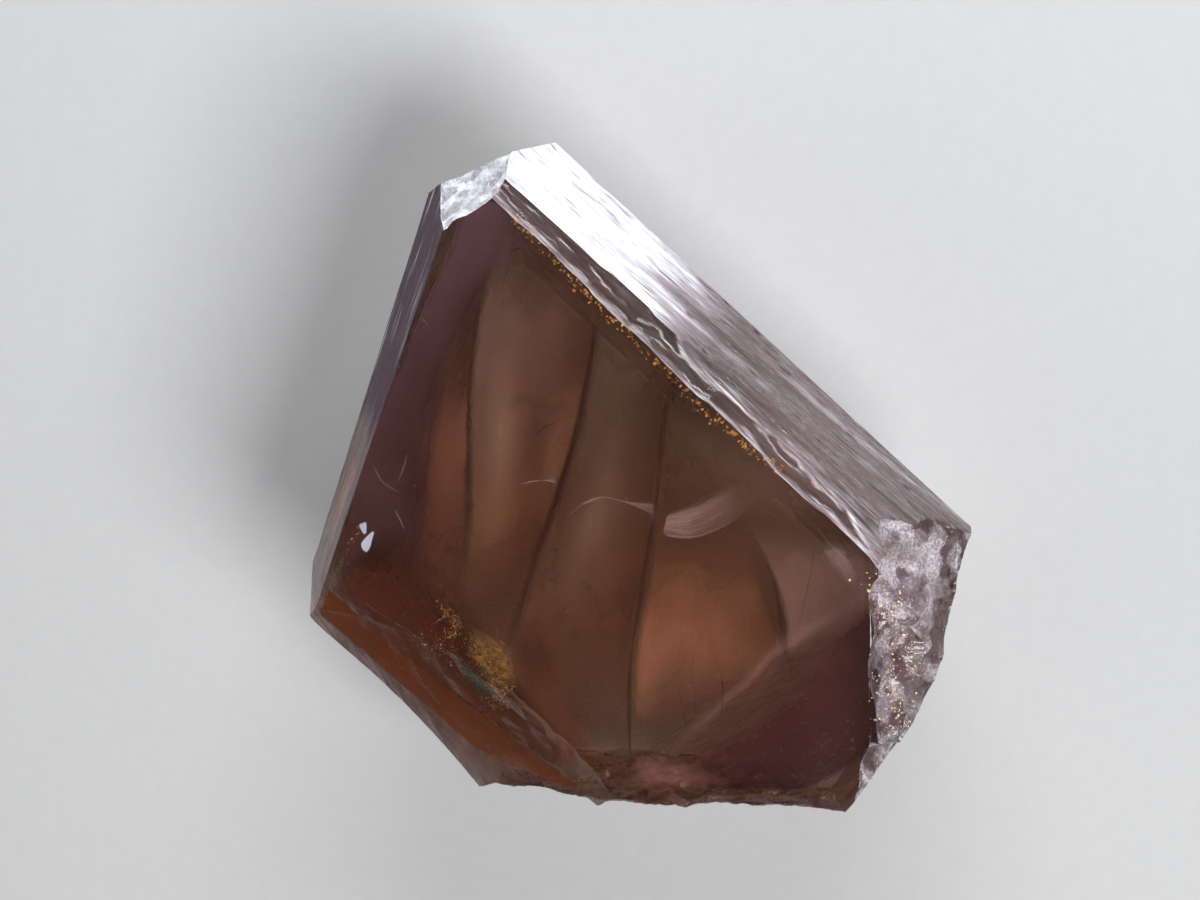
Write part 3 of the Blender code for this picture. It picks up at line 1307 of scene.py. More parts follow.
VEILS = (
    Veil(
        "plum_growth_zone",
        HazeFinish(
            "plum_haze", ((0.40, 0.27, 0.38), (0.38, 0.26, 0.34)),
            ((0.16, 0.065, 0.05), (0.08, 0.03, 0.022)), 0.8,
        ),
        (Sheet(
            Line(((-9.9, 16.3, 12.2), (-11.4, 13.0, 12.1), (-13.0, 9.3, 12.0), (-15.2, 4.2, 12.0),
                  (-17.4, -0.9, 12.0), (-18.5, -5.8, 12.0), (-18.6, -8.4, 12.0))),
            Line(((-7.2, 15.6, 10.0), (-6.0, 12.6, 9.5), (-9.2, 9.1, 9.0), (-11.6, 4.1, 9.0),
                  (-11.8, -1.0, 9.0), (-12.2, -5.9, 9.0), (-12.8, -9.6, 9.0))),
            Fades(0.1, 0.45, 0.04, 0.2),
        ),),
    ),
    Veil(
        "red_growth_zone",
        HazeFinish(
            "red_brown_haze", ((0.50, 0.32, 0.36), (0.60, 0.36, 0.32)),
            ((0.45, 0.14, 0.08), (0.30, 0.10, 0.05)), 0.6,
        ),
        (Sheet(
            level(9.0, (-12.4, 10.5), (-13.2, 4.6), (-13.9, 0.1), (-14.7, -4.7), (-15.4, -8.4)),
            level(11.0, (-9.6, 10.7), (-10.2, 4.8), (-10.3, 0.4), (-10.5, -4.4), (-11.1, -8.1)),
            Fades(0.4, 0.07, 0.4, 0.3),
        ),),
    ),
    Veil(
        "red_growth_glow",
        HazeFinish(
            "red_haze", ((0.85, 0.40, 0.30), (0.95, 0.40, 0.26)),
            ((0.75, 0.27, 0.18), (0.80, 0.28, 0.17)), 0.42,
        ),
        (Sheet(
            level(12.3, (-12.3, 5.8), (-13.1, 1.6), (-13.6, -2.0), (-14.1, -5.2)),
            level(13.0, (-10.0, 6.1), (-10.1, 2.3), (-10.2, -1.2), (-10.4, -4.8)),
            Fades(0.75, 0.08, 0.55, 0.7),
        ),),
    ),
    Veil(
        "olive_growth_zone",
        HazeFinish(
            "olive_brown_haze", ((0.44, 0.32, 0.30), (0.50, 0.38, 0.38)),
            ((0.50, 0.22, 0.12), (0.80, 0.42, 0.26)), 0.68,
        ),
        (Sheet(
            level(13.0, (-8.1, 13.7), (-9.5, 8.8), (-10.0, 5.0), (-10.1, 0.5), (-10.2, -4.2),
                        (-11.0, -9.0)),
            level(8.0, (-2.4, 10.4), (-3.1, 6.9), (-3.7, 3.9), (-4.4, 0.9), (-5.4, -2.1),
                       (-7.6, -8.6)),
            Fades(0.05, 0.05, 0.2, 0.25),
        ),),
    ),
    Veil(
        "olive_growth_streak",
        HazeFinish(
            "olive_haze", ((0.72, 0.55, 0.40), (0.80, 0.60, 0.42)),
            ((0.70, 0.42, 0.27), (0.72, 0.38, 0.23)), 0.7,
        ),
        (Sheet(
            level(13.6, (-9.0, 9.6), (-9.4, 5.0), (-9.6, 1.8), (-9.5, -1.8), (-9.6, -6.7)),
            level(12.8, (-6.3, 9.6), (-6.3, 5.0), (-6.5, 1.8), (-7.1, -2.4), (-7.7, -7.0)),
            Fades(0.5, 0.75, 0.6, 0.7),
        ),),
    ),
    Veil(
        "amber_growth_patch",
        HazeFinish(
            "amber_haze", ((0.60, 0.35, 0.22), (0.60, 0.31, 0.20)), even((0.60, 0.28, 0.17)), 0.5,
        ),
        (Sheet(
            level(12.8, (-7.0, 6.5), (-6.2, 2.4), (-7.6, -4.8)),
            level(12.2, (-2.9, 7.1), (-3.8, 2.4), (-6.2, -5.0)),
            Fades(0.7, 0.12, 0.6, 0.5),
        ),),
    ),
    Veil(
        "grey_growth_zone",
        HazeFinish(
            "grey_brown_haze", ((0.28, 0.22, 0.19), (0.42, 0.37, 0.32)),
            ((0.28, 0.12, 0.07), (0.62, 0.30, 0.18)), 0.66,
        ),
        (Sheet(
            level(13.0, (-2.0, 10.6), (-2.7, 7.2), (-3.3, 4.2), (-3.9, 1.3), (-4.9, -1.7),
                        (-7.0, -8.0), (-7.9, -13.2)),
            level(8.0, (1.5, 6.4), (1.2, 3.4), (0.8, 0.4), (0.5, -2.6), (0.1, -5.6), (-0.6, -9.3),
                       (-0.8, -14.2)),
            Fades(0.07, 0.05, 0.2, 0.25),
        ),),
    ),
    Veil(
        "grey_growth_glow",
        HazeFinish(
            "grey_haze", ((0.66, 0.48, 0.35), (0.50, 0.36, 0.27)),
            ((0.58, 0.31, 0.20), (0.56, 0.30, 0.19)), 0.55,
        ),
        (Sheet(
            level(13.4, (-2.4, 4.9), (-3.9, -1.0), (-5.1, -4.6), (-6.1, -10.0)),
            level(12.4, (1.1, 4.9), (0.6, -1.0), (0.0, -5.2), (-0.9, -10.0)),
            Fades(0.35, 0.7, 0.6, 0.6),
        ),),
    ),
    Veil(
        "dark_growth_zone",
        HazeFinish(
            "dark_olive_haze", ((0.05, 0.04, 0.03), (0.16, 0.13, 0.10)),
            ((0.28, 0.16, 0.08), (0.46, 0.34, 0.33)), 0.8,
        ),
        (Sheet(
            level(12.0, (1.8, 7.4), (1.5, 3.7), (1.1, 0.7), (0.8, -2.2), (0.3, -5.2)),
            level(9.0, (4.2, 6.3), (6.9, 3.0), (9.5, 0.4), (11.9, -2.8), (12.8, -7.8)),
            Fades(0.03, 0.12, 0.15, 0.6),
        ),),
    ),
    Veil(
        "brown_growth_patch",
        HazeFinish(
            "brown_haze", ((0.72, 0.34, 0.18), (0.80, 0.50, 0.34)),
            ((0.95, 0.50, 0.32), (0.85, 0.54, 0.46)), 0.68,
        ),
        (Sheet(
            level(11.0, (0.9, -2.9), (0.5, -5.3), (-0.1, -8.3), (-0.5, -11.3), (-0.6, -16.0)),
            Line(((5.8, -2.6, 7.0), (7.3, -6.1, 7.0), (8.1, -9.1, 7.0), (8.0, -12.1, 7.0),
                  (5.6, -15.3, 7.5))),
            Fades(0.04, 0.15, 0.65, 0.35),
        ),),
    ),
    Veil(
        "mauve_growth_zone",
        HazeFinish(
            "mauve_haze", ((0.55, 0.40, 0.34), (0.80, 0.62, 0.72)),
            ((0.68, 0.48, 0.48), (0.50, 0.33, 0.40)), 0.58,
        ),
        (Sheet(
            level(11.0, (6.0, -2.7), (7.5, -5.7), (8.3, -8.6), (8.7, -11.0)),
            level(8.5, (12.6, -4.0), (13.8, -5.8), (13.6, -8.2), (12.4, -10.0)),
            Fades(0.05, 0.15, 0.35, 0.2),
        ),),
    ),
    Veil(
        "violet_growth_zone",
        HazeFinish(
            "violet_haze", ((0.20, 0.08, 0.085), (0.12, 0.055, 0.065)),
            ((0.19, 0.055, 0.05), (0.08, 0.022, 0.025)), 0.85, 0.1, 0.12, 0.12,
        ),
        (Sheet(
            level(12.0, (13.7, -6.5), (10.5, -8.7), (8.2, -10.3), (5.0, -13.4), (2.9, -15.9),
                        (0.5, -17.8)),
            level(13.2, (14.8, -8.9), (14.7, -12.3), (14.1, -15.0), (12.8, -16.8), (9.4, -18.3),
                        (4.7, -18.5), (0.6, -18.6)),
            Fades(0.4, 0.05, 0.08, 0.3),
            0.4,
        ),),
    ),
    Veil(
        "umber_growth_zone",
        HazeFinish(
            "umber_haze", ((0.19, 0.06, 0.03), (0.09, 0.03, 0.018)),
            ((0.24, 0.07, 0.025), (0.12, 0.035, 0.012)), 0.85,
        ),
        (Sheet(
            Line(((-18.8, -7.2, 12.6), (-15.1, -10.4, 12.2), (-11.2, -13.8, 12.0),
                  (-7.1, -16.5, 12.0), (-3.3, -18.6, 12.2))),
            level(12.0, (-14.6, -3.2), (-12.4, -5.6), (-9.8, -8.3), (-6.6, -12.9), (-3.0, -16.4)),
            Fades(0.06, 0.5, 0.1, 0.15),
        ),),
    ),
    Veil(
        "scoop_stain",
        HazeFinish(
            "scoop_brown", ((0.20, 0.045, 0.01), (0.24, 0.06, 0.015)),
            ((0.24, 0.06, 0.015), (0.30, 0.09, 0.035)), 0.92, 0.3,
        ),
        (Sheet(
            level(0.0, (-18.8, -6.9), (-14.9, -10.2), (-10.9, -13.6), (-6.8, -16.6),
                       (-3.0, -19.0)),
            level(0.0, (-19.2, -8.6), (-16.6, -11.3), (-13.2, -14.6), (-9.8, -17.4),
                       (-4.6, -19.0)),
            Fades(0.06, 0.06, 0.05, 0.05),
            0.1,
            sunk=0.6,
        ),),
    ),
    Veil(
        "low_dark_zone",
        HazeFinish(
            "low_dark_haze", ((0.08, 0.03, 0.02), (0.22, 0.09, 0.04)),
            ((0.28, 0.08, 0.04), (0.30, 0.12, 0.07)), 0.6,
        ),
        (Sheet(
            level(13.0, (-7.6, -8.2), (-8.2, -11.5), (-7.5, -15.2), (-6.0, -17.6)),
            level(12.0, (-5.4, -7.6), (-3.6, -11.5), (-2.3, -15.0), (-1.0, -17.9)),
            Fades(0.4, 0.5, 0.4, 0.2),
        ),),
    ),
    Veil(
        "violet_edge_streaks",
        HazeFinish(
            "pink_haze", even((0.80, 0.52, 0.50)), ((0.90, 0.52, 0.46), (0.78, 0.40, 0.38)),
            0.4, 0.45, 0.5, 0.3,
        ),
        (Sheet(
            level(12.9, (12.9, -5.6), (9.4, -8.3), (6.6, -10.6), (3.6, -13.8), (0.4, -16.4)),
            level(12.4, (13.9, -6.9), (10.7, -9.0), (8.3, -10.9), (5.2, -13.9), (1.2, -17.8)),
            Fades(0.9, 0.5, 0.35, 0.35),
            0.35,
        ),),
    ),
    Veil(
        "pale_corner_patch",
        HazeFinish(
            "pale_mauve_haze", even((0.85, 0.68, 0.72)), even((0.7, 0.5, 0.56)), 0.45, 0.8, 0.5
        ),
        (Sheet(
            level(14.0, (11.0, -3.2), (12.3, -4.3), (13.0, -5.6)),
            level(13.4, (10.4, -4.6), (11.5, -5.7), (12.4, -6.9)),
            Fades(0.4, 0.5, 0.4, 0.5),
        ),),
    ),
    Veil(
        "first_growth_line",
        HazeFinish("soft_line", even((0.10, 0.04, 0.05)), even((0.14, 0.06, 0.06)), 0.34, 0.2),
        (Sheet(
            level(14.0, (-2.2, 9.8), (-2.5, 7.2), (-3.0, 4.3), (-3.7, 1.4), (-4.7, -1.6),
                        (-5.7, -4.6), (-6.8, -7.9), (-7.4, -10.6)),
            level(3.0, (-3.6, 9.3), (-4.0, 6.6), (-4.5, 3.5), (-5.2, 0.5), (-6.2, -2.6),
                       (-7.3, -5.7), (-8.4, -9.2), (-9.1, -12.0)),
            Fades(0.1, 0.5, 0.15, 0.15),
            0.1,
        ),),
    ),
    Veil(
        "second_growth_crack",
        DARK_LINE,
        (Sheet(
            Line(((1.8, 5.6, 15.3), (1.4, 3.3, 15.3), (1.2, 1.0, 15.2), (0.9, -1.9, 15.0),
                  (0.4, -4.9, 15.0), (-0.1, -7.8, 15.0), (-0.3, -10.8, 14.9), (-0.4, -14.4, 14.8),
                  (-0.3, -18.0, 14.6))),
            Line(((1.3, 4.9, 3.0), (0.9, 2.4, 3.0), (0.7, -0.0, 3.0), (0.3, -3.1, 3.0),
                  (-0.1, -6.1, 3.0), (-0.6, -9.2, 3.0), (-1.4, -12.3, 3.0), (-1.6, -16.1, 3.0),
                  (-1.3, -18.2, 4.0))),
            Fades(0.02, 0.4, 0.1, 0.02),
            0.06,
        ),),
    ),
    Veil(
        "third_growth_crack",
        HazeFinish("faint_line", even((0.16, 0.07, 0.06)), even((0.12, 0.05, 0.05)), 0.45, 0.3),
        (Sheet(
            level(13.0, (6.1, -2.8), (7.6, -5.4), (8.3, -9.6), (9.4, -13.1), (10.7, -16.0)),
            Line(((6.0, -3.7, 4.0), (7.6, -6.4, 4.0), (8.2, -10.5, 5.0), (8.9, -13.2, 7.0),
                  (9.9, -15.0, 9.0))),
            Fades(0.1, 0.5, 0.3, 0.3),
            0.06,
        ),),
    ),
    Veil(
        "dark_needles",
        DARK_LINE,
        threads(
            0.14,
            ((10.2, -4.0, 13.5), (9.7, -6.5, 13.5), (9.2, -9.4, 13.5)),
            ((3.3, -10.3, 14.0), (3.1, -11.6, 14.0), (3.4, -14.3, 14.0)),
            ((4.6, -10.9, 14.0), (4.9, -12.4, 14.0), (4.8, -14.5, 14.0)),
            ((2.4, -12.3, 14.0), (2.5, -13.6, 14.0), (2.9, -15.2, 14.0)),
            ((-5.5, 3.2, 13.5), (-4.9, 3.5, 13.5), (-4.0, 4.1, 13.6)),
            ((-6.4, 1.9, 13.2), (-5.6, 2.6, 13.3), (-4.5, 3.1, 13.4)),
            ((-5.3, -2.3, 13.5), (-4.9, -1.9, 13.5), (-4.6, -1.2, 13.5)),
        ),
    ),
    Veil(
        "dark_smears",
        HazeFinish(
            "smear_brown", even((0.20, 0.08, 0.05)), even((0.16, 0.06, 0.04)), 0.28, 0.5, 0.5
        ),
        threads(
            1.1,
            ((-8.0, 3.6, 13.0), (-6.8, 4.2, 13.2), (-5.4, 3.8, 13.4), (-4.0, 4.2, 13.6)),
            ((-12.3, -5.4, 14.0), (-11.6, -6.9, 14.0), (-11.9, -8.3, 14.0)),
            ((-10.9, -6.3, 14.0), (-10.7, -7.4, 14.0), (-10.2, -8.6, 14.0)),
        ),
    ),
    Veil(
        "pale_cracks",
        HazeFinish(
            "faint_feather", even((0.85, 0.62, 0.60)), even((0.7, 0.5, 0.5)), 0.34, 0.5, 0.5
        ),
        threads(
            0.15,
            ((-15.6, 0.4, 15.0), (-15.1, -0.6, 15.0), (-14.6, -1.0, 15.0), (-13.9, -1.3, 15.0)),
            ((-13.5, 1.0, 15.0), (-13.7, 0.2, 15.0), (-14.1, -0.6, 15.0)),
            ((-14.3, -2.2, 15.0), (-14.0, -2.8, 15.0), (-13.7, -3.7, 15.0)),
            ((-12.9, 8.7, 15.4), (-12.4, 8.9, 15.4), (-12.0, 8.4, 15.4)),
            ((-12.2, -9.2, 14.8), (-11.2, -8.6, 14.8), (-10.2, -8.9, 14.8)),
            ((-4.2, -2.6, 13.3), (-3.5, -2.0, 13.5), (-2.6, -1.3, 13.8)),
        ),
    ),
    Veil(
        "middle_feather",
        FEATHER,
        (Sheet(
            Line(((-3.8, -2.0, 13.5), (-2.9, -1.5, 13.8), (-2.0, -1.3, 14.0), (-0.5, -1.6, 13.7),
                  (0.9, -1.6, 13.6))),
            Line(((-3.7, -2.2, 13.3), (-2.8, -1.7, 13.5), (-1.9, -1.45, 13.6), (-0.4, -2.0, 13.2),
                  (0.9, -2.9, 13.0))),
            Fades(0.1, 0.5, 0.3, 0.05),
            0.08,
        ),),
    ),
    Veil(
        "bright_feather",
        FEATHER,
        (Sheet(
            Line(((1.6, -2.2, 13.8), (3.0, -1.6, 13.9), (4.7, -0.7, 14.1), (6.6, 0.6, 14.3))),
            Line(((1.2, -3.5, 12.8), (3.0, -3.8, 12.5), (5.3, -2.8, 12.6), (7.8, -0.9, 12.9))),
            Fades(0.25, 0.25, 0.05, 0.8),
            0.1,
        ),
         Sheet(
            Line(((1.3, -3.3, 13.0), (2.9, -3.55, 12.7), (4.9, -2.8, 12.8), (6.4, -1.6, 13.1))),
            Line(((1.3, -3.6, 12.8), (2.9, -3.85, 12.5), (4.9, -3.1, 12.6), (6.4, -1.8, 12.9))),
            Fades(0.5, 0.4, 0.1, 0.7),
            0.08,
            (40, 8),
        )),
    ),
    Veil(
        "upper_left_feather",
        FEATHER,
        (Sheet(
            Line(((-7.1, -0.7, 13.8), (-6.1, -0.45, 14.0), (-5.3, -0.5, 14.1), (-4.7, -0.7, 14.1))),
            Line(((-7.1, -0.8, 13.8), (-6.1, -0.6, 14.0), (-5.3, -0.25, 14.1), (-4.7, 0.05, 14.1))),
            Fades(0.1, 0.8, 0.3, 0.3),
            0.04,
            (24, 8),
        ),),
    ),
    Veil(
        "bottom_feather",
        HazeFinish(
            "rosy_haze", ((0.85, 0.42, 0.38), (0.80, 0.36, 0.32)),
            ((0.70, 0.34, 0.32), (0.60, 0.26, 0.26)), 0.34, 1.0, 1.0, 0.8, (14.0, 18.0), 0.5,
        ),
        (Sheet(
            Line(((-0.4, -16.8, 13.8), (1.2, -16.6, 13.8), (3.4, -16.9, 13.6), (6.0, -18.0, 13.2))),
            Line(((-0.5, -18.8, 13.2), (1.2, -18.8, 13.2), (3.2, -18.7, 13.2), (5.4, -18.6, 13.1))),
            Fades(0.55, 0.3, 0.2, 0.6),
            0.3,
        ),),
    ),
    Veil(
        "rust_stain",
        HazeFinish(
            "rust_stain", ((0.40, 0.20, 0.07), (0.60, 0.36, 0.12)),
            ((0.30, 0.14, 0.05), (0.66, 0.42, 0.16)), 0.8, 0.8, 1.0, 1.0, (9.0, 9.0),
        ),
        (Sheet(
            level(0.0, (-10.4, -10.7), (-9.9, -11.5), (-9.2, -12.7), (-8.9, -14.0)),
            level(0.0, (-9.9, -9.2), (-8.5, -9.7), (-7.2, -10.7), (-7.2, -13.1)),
            Fades(0.3, 0.3, 0.35, 0.35),
            0.1,
            (40, 32),
            sunk=0.45,
        ),),
    ),
    Veil(
        "break_haze",
        HazeFinish(
            "break_mauve", ((0.40, 0.21, 0.26), (0.34, 0.21, 0.24)),
            ((0.28, 0.12, 0.17), (0.34, 0.22, 0.22)), 0.7, 0.3, 0.6, 0.4,
        ),
        (Sheet(
            level(0.0, (13.5, -4.4), (13.6, -7.0), (13.9, -10.4), (14.0, -14.6)),
            level(0.0, (17.2, -4.6), (16.8, -8.0), (16.0, -11.6), (14.9, -15.0)),
            Fades(0.06, 0.06, 0.06, 0.06),
            0.0,
            sunk=0.5,
        ),),
    ),
    # A painted reflection: the warm rosy sheet under the lower prism face stands in for a warm
    # reflection.
    Veil(
        "prism_haze",
        HazeFinish(
            "painted_warm_reflection", even((0.95, 0.45, 0.32)), even((0.55, 0.22, 0.13)),
            0.8, 0.3, 0.4, 0.3,
        ),
        (Sheet(
            level(0.0, (-15.6, 2.6), (-16.7, -0.7), (-17.8, -4.0), (-18.9, -7.3)),
            level(0.0, (-16.8, 3.0), (-17.9, -0.3), (-19.0, -3.6), (-19.9, -6.5)),
            Fades(0.3, 0.6, 0.6, 0.6),
            0.0,
            sunk=0.5,
        ),),
    ),
    # A painted highlight: two bright bluish-white sheets just under the surface stand in for the
    # glint of a small chip.
    Veil(
        "left_glint",
        HazeFinish(
            "glint", even((0.9, 0.92, 1.0)), even((0.8, 0.85, 1.0)),
            1.3, 0.3, 0.2, 0.2, (4.0, 8.0), 0.3,
        ),
        (
            Sheet(
                level(15.2, (-16.5, -3.2), (-16.4, -3.5), (-16.15, -3.85)),
                level(15.2, (-15.95, -3.0), (-15.95, -3.4), (-16.0, -3.8)),
                Fades(0.3, 0.2, 0.3, 0.2),
                0.03,
                (12, 8),
            ),
            Sheet(
                level(15.2, (-15.6, -3.6), (-16.05, -4.0), (-16.35, -4.4), (-16.2, -4.85)),
                level(15.2, (-15.5, -3.65), (-15.65, -4.2), (-15.75, -4.6), (-16.0, -4.95)),
                Fades(0.15, 0.15, 0.1, 0.2),
                0.02,
                (16, 8),
            ),
        ),
    ),
)


@dataclass(frozen=True)
class FleckFinish:
    """The finish of small solid specks, mottled between two colours."""

    name: str
    first: Colour
    second: Colour
    metallic: float = 0.0
    roughness: float = 0.5

    def build(self) -> bpy.types.Material:
        """Makes the material.

        Returns:
            The material.
        """
        shading = Shading.named(self.name)
        cloud = shading.noise(shading.object_place(), 3000.0, 3.0, 0.6)
        surface = shading.node(
            "ShaderNodeBsdfPrincipled",
            {},
            {
                "Base Color": shading.mixed(cloud.eased(0.35, 0.65), self.first, self.second),
                "Metallic": self.metallic,
                "Roughness": self.roughness,
            },
        )
        return shading.finish(surface)


@dataclass(frozen=True)
class Flecks:
    """A scatter of small specks just below the surface, along a line."""

    name: str
    line: Line
    count: int
    spread: float
    sizes: tuple[float, float]
    depths: tuple[float, float]
    finish: FleckFinish
    flatness: float = 0.4
    seed: int = 1

    def build(self, body: CrystalBody) -> bpy.types.Object:
        """Makes the piece.

        Args:
            body: the crystal that the specks are sealed in.

        Returns:
            The piece.
        """
        chance = random.Random(self.seed)
        bm = bmesh.new()
        for _ in range(self.count):
            place = self.line.at(chance.random())
            place.x += chance.gauss(0.0, self.spread)
            place.y += chance.gauss(0.0, self.spread)
            size = chance.uniform(*self.sizes) * chance.uniform(0.5, 1.0)
            depth = size + chance.uniform(*self.depths)
            middle = body.under(place.x, place.y, depth)
            if middle is None:
                continue
            turn = Matrix.Rotation(chance.uniform(0.0, math.tau), 4, "Z")
            lean = Matrix.Rotation(chance.gauss(0.0, 0.5), 4, "X")
            shape = Matrix.Diagonal((1.0, chance.uniform(0.4, 1.0), self.flatness, 1.0))
            made = bmesh.ops.create_icosphere(
                bm,
                subdivisions=1,
                radius=0.5 * size * MM,
                matrix=Matrix.Translation(middle) @ turn @ lean @ shape,
            )
            for vertex in made["verts"]:
                vertex.co += (vertex.co - middle) * chance.uniform(-0.35, 0.35)
        return place_mesh(bm, self.name, self.finish.build())


GOLD = FleckFinish("iron_gold", (1.0, 0.55, 0.15), (0.85, 0.33, 0.06), 0.2, 0.3)
# Bright pale gold specks that paint glints.
GLINT_SPECK = FleckFinish("pale_gold_glint", (1.0, 0.82, 0.52), (1.0, 0.58, 0.22), 0.2, 0.25)
OCHRE = FleckFinish("ochre", (0.22, 0.08, 0.02), (0.80, 0.42, 0.11), 0.0, 0.6)
RUST = FleckFinish("rust", (0.20, 0.06, 0.03), (0.60, 0.28, 0.10), 0.0, 0.6)
GREEN = FleckFinish("dark_green_mineral", (0.02, 0.02, 0.002), (0.06, 0.05, 0.008), 0.0, 0.6)
DUST = FleckFinish("pale_dust", (0.8, 0.72, 0.66), (0.7, 0.56, 0.5), 0.0, 0.5)

FLECKS = (
    Flecks(
        "gold_along_edge",
        level(0.0, (-6.9, 14.7), (-3.2, 10.9), (1.2, 6.7), (4.6, 3.4), (8.3, 0.6)),
        360, 0.14, (0.05, 0.27), (0.05, 0.2), GOLD, 0.35, 3,
    ),
    Flecks(
        "rust_patch",
        level(0.0, (-9.3, -10.1), (-8.4, -10.7), (-8.0, -11.6), (-8.2, -12.8), (-8.7, -13.8)),
        1500, 0.42, (0.04, 0.15), (0.05, 0.3), OCHRE, 0.6, 5,
    ),
    Flecks(
        "rust_crumbs",
        level(0.0, (-11.7, -7.9), (-10.9, -8.5), (-10.6, -9.3), (-11.3, -9.7)),
        150, 0.2, (0.05, 0.2), (0.03, 0.2), OCHRE, 0.6, 15,
    ),
    Flecks(
        "rust_halo",
        level(0.0, (-12.6, -10.6), (-10.9, -10.2), (-9.8, -11.9), (-8.9, -14.2)),
        600, 0.6, (0.03, 0.1), (0.05, 0.5), RUST, 0.6, 25,
    ),
    Flecks(
        "green_grains",
        level(0.0, (-10.2, -12.0), (-9.6, -12.7), (-8.8, -13.4)),
        520, 0.2, (0.08, 0.24), (-0.14, -0.02), GREEN, 0.6, 7,
    ),
    # Painted glints: bright specks beside the rust patch.
    Flecks(
        "painted_pale_glints",
        level(0.0, (-12.9, -10.4), (-11.6, -10.8), (-11.0, -11.3)),
        22, 0.35, (0.05, 0.16), (0.02, 0.1), GLINT_SPECK, 0.5, 29,
    ),
    # Gold specks in the right break, partly painted glints that stand in for its sparkle.
    Flecks(
        "gold_glints_in_break",
        level(0.0, (13.9, -5.4), (14.6, -8.4), (15.0, -11.2), (14.6, -14.0)),
        260, 0.6, (0.06, 0.26), (-0.19, -0.08), GLINT_SPECK, 0.5, 17,
    ),
    Flecks(
        "gold_at_left_edge",
        level(0.0, (-16.4, -3.4), (-17.5, -5.6), (-19.0, -8.4)),
        60, 0.12, (0.04, 0.12), (-0.08, -0.03), GOLD, 0.4, 19,
    ),
    Flecks(
        "dust_specks",
        level(0.0, (-12.0, 10.0), (-6.0, 4.0), (0.0, -3.0), (8.0, -12.0)),
        110, 3.6, (0.03, 0.09), (0.05, 1.5), DUST, 0.7, 11,
    ),
)


# ---------------------------------------------------------------------------------------------
# Stage, light and camera
# ---------------------------------------------------------------------------------------------


@dataclass(frozen=True)
class Floor:
    """A plain pale surface under the crystal."""

    size: float = 2.4
    drop: float = 0.0001
    pale: Colour = (0.62, 0.62, 0.62)
    darker: Colour = (0.58, 0.58, 0.585)

    def build(self) -> bpy.types.Object:
        """Makes the floor and puts it in the scene.

        Returns:
            The floor.
        """
        bm = bmesh.new()
        lowered = Matrix.Translation((0.0, 0.0, -self.drop))
        bmesh.ops.create_grid(bm, x_segments=1, y_segments=1, size=self.size / 2, matrix=lowered)
        shading = Shading.named("floor_paper")
        fibre = shading.noise(shading.object_place(), 900.0, 3.0, 0.6)
        surface = shading.node(
            "ShaderNodeBsdfPrincipled",
            {},
            {
                "Base Color": shading.mixed(fibre, self.darker, self.pale),
                "Roughness": 0.9,
                "Specular IOR Level": 0.1,
            },
        )
        mesh = bpy.data.meshes.new("floor")
        bm.to_mesh(mesh)
        bm.free()
        mesh.materials.append(shading.finish(surface))
        floor = bpy.data.objects.new("floor", mesh)
        bpy.context.scene.collection.objects.link(floor)
        return floor


@dataclass(frozen=True)
class SoftBox:
    """A square soft light that looks at the crystal; its distance and size are in metres."""

    name: str
    azimuth: float
    elevation: float
    distance: float
    size: float
    power: float
    colour: Colour = (1.0, 1.0, 1.0)

    def build(self) -> None:
        """Makes the light."""
        data = bpy.data.lights.new(self.name, "AREA")
        data.size = self.size
        data.energy = self.power
        data.color = self.colour
        light = bpy.data.objects.new(self.name, data)
        azimuth = math.radians(self.azimuth)
        elevation = math.radians(self.elevation)
        level = math.cos(elevation)
        towards = Vector(
            (level * math.cos(azimuth), level * math.sin(azimuth), math.sin(elevation))
        )
        light.matrix_world = (
            Matrix.Translation(towards * self.distance)
            @ towards.to_track_quat("Z", "Y").to_matrix().to_4x4()
        )
        bpy.context.scene.collection.objects.link(light)


LIGHTS = (
    SoftBox("key_light", 84.0, 22.0, 0.24, 0.18, 0.65, (0.94, 0.97, 1.0)),
    SoftBox("top_light", 330.0, 50.0, 0.5, 0.25, 2.4),
    SoftBox("fill_light", 200.0, 25.0, 0.45, 0.3, 0.35, (1.0, 0.96, 0.92)),
)


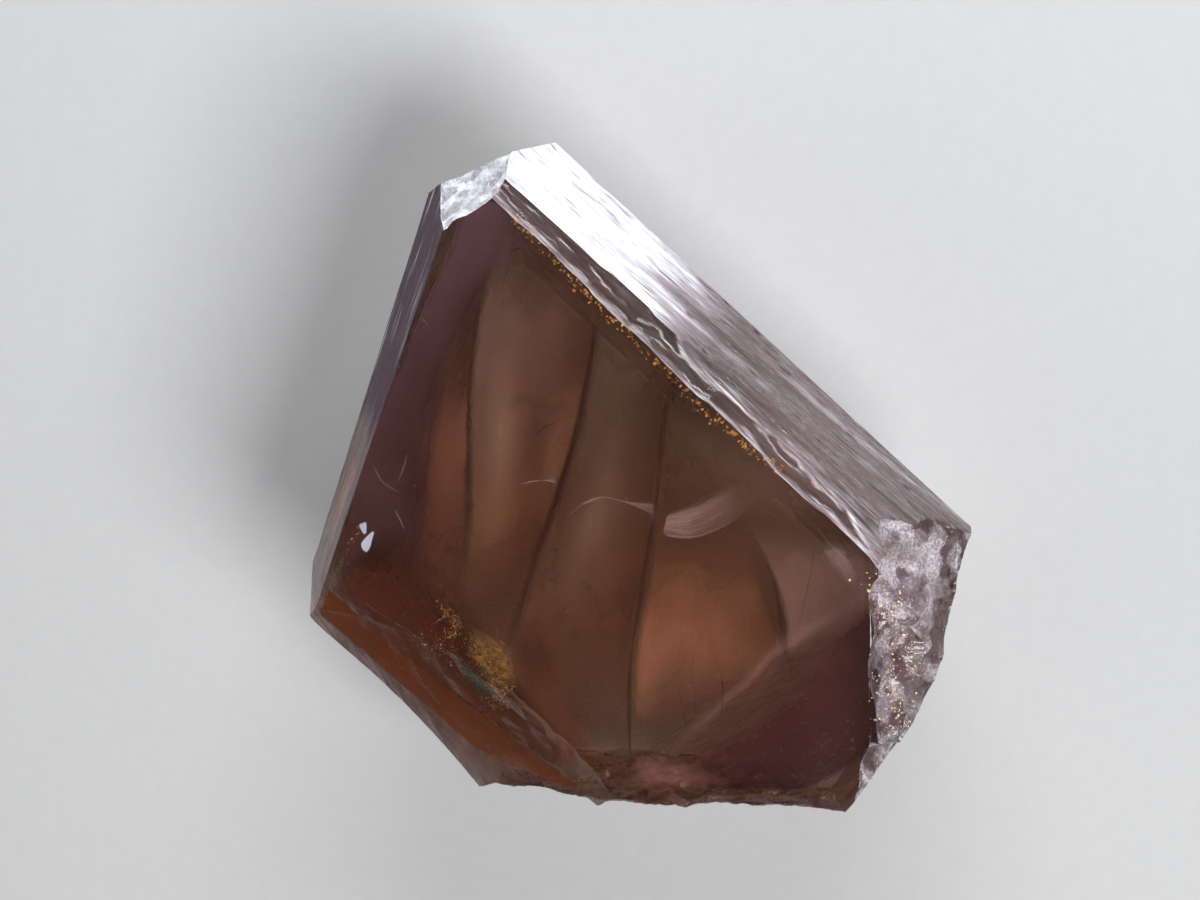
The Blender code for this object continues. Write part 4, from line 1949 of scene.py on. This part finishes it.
@dataclass(frozen=True)
class Studio:
    """The even light all round: pale walls under a dim ceiling."""

    colour: Colour = (0.92, 0.95, 1.0)
    walls: float = 0.1
    ceiling: float = 0.06

    def build(self) -> None:
        """Makes the world and sets how its brightness is shown."""
        world = bpy.data.worlds.new("studio")
        shading = Shading(world)
        place = shading.node("ShaderNodeTexCoord", {}, {}).outputs["Generated"]
        split = shading.node("ShaderNodeSeparateXYZ", {}, {0: place})
        height = Value(shading, split.outputs["Z"]).eased(0.15, 0.8)
        background = shading.node(
            "ShaderNodeBackground",
            {},
            {"Color": self.colour, "Strength": self.walls + height * (self.ceiling - self.walls)},
        )
        shading.node("ShaderNodeOutputWorld", {}, {"Surface": background.outputs[0]})
        scene = bpy.context.scene
        scene.world = world
        scene.view_settings.view_transform = "Standard"


@dataclass(frozen=True)
class Camera:
    """The camera: how far it stands off in millimetres, how it leans, and what it looks at."""

    lens: float = 85.0
    sensor: float = 36.0
    distance: float = 161.9
    tilt: float = 12.0
    foot: float = 45.0
    aim: Place = (-2.08, 1.57, 15.99)
    near: float = 0.01

    def build(self) -> None:
        """Makes the camera and hands it to the scene."""
        tilt = math.radians(self.tilt)
        foot = math.radians(self.foot)
        level = math.sin(tilt)
        back = Vector((level * math.cos(foot), level * math.sin(foot), math.cos(tilt)))
        north = Vector((0.0, 1.0, 0.0))
        upright = (north - back * north.dot(back)).normalized()
        right = upright.cross(back)
        data = bpy.data.cameras.new("view")
        data.lens = self.lens
        data.sensor_width = self.sensor
        data.clip_start = self.near
        camera = bpy.data.objects.new("view", data)
        matrix = Matrix((right, upright, back)).transposed().to_4x4()
        matrix.translation = spot_at(*self.aim) + back * self.distance * MM
        camera.matrix_world = matrix
        bpy.context.scene.collection.objects.link(camera)
        bpy.context.scene.camera = camera


def main() -> None:
    """Builds the crystal, what is sealed in it, the stage, the light and the camera."""
    logging.basicConfig(level=logging.INFO, format="%(message)s")
    body = CrystalBody(CrystalFinish())
    body.build()
    for veil in VEILS:
        veil.build(body)
    for flecks in FLECKS:
        flecks.build(body)
    Floor().build()
    for light in LIGHTS:
        light.build()
    Studio().build()
    Camera().build()


if __name__ == "__main__":
    main()
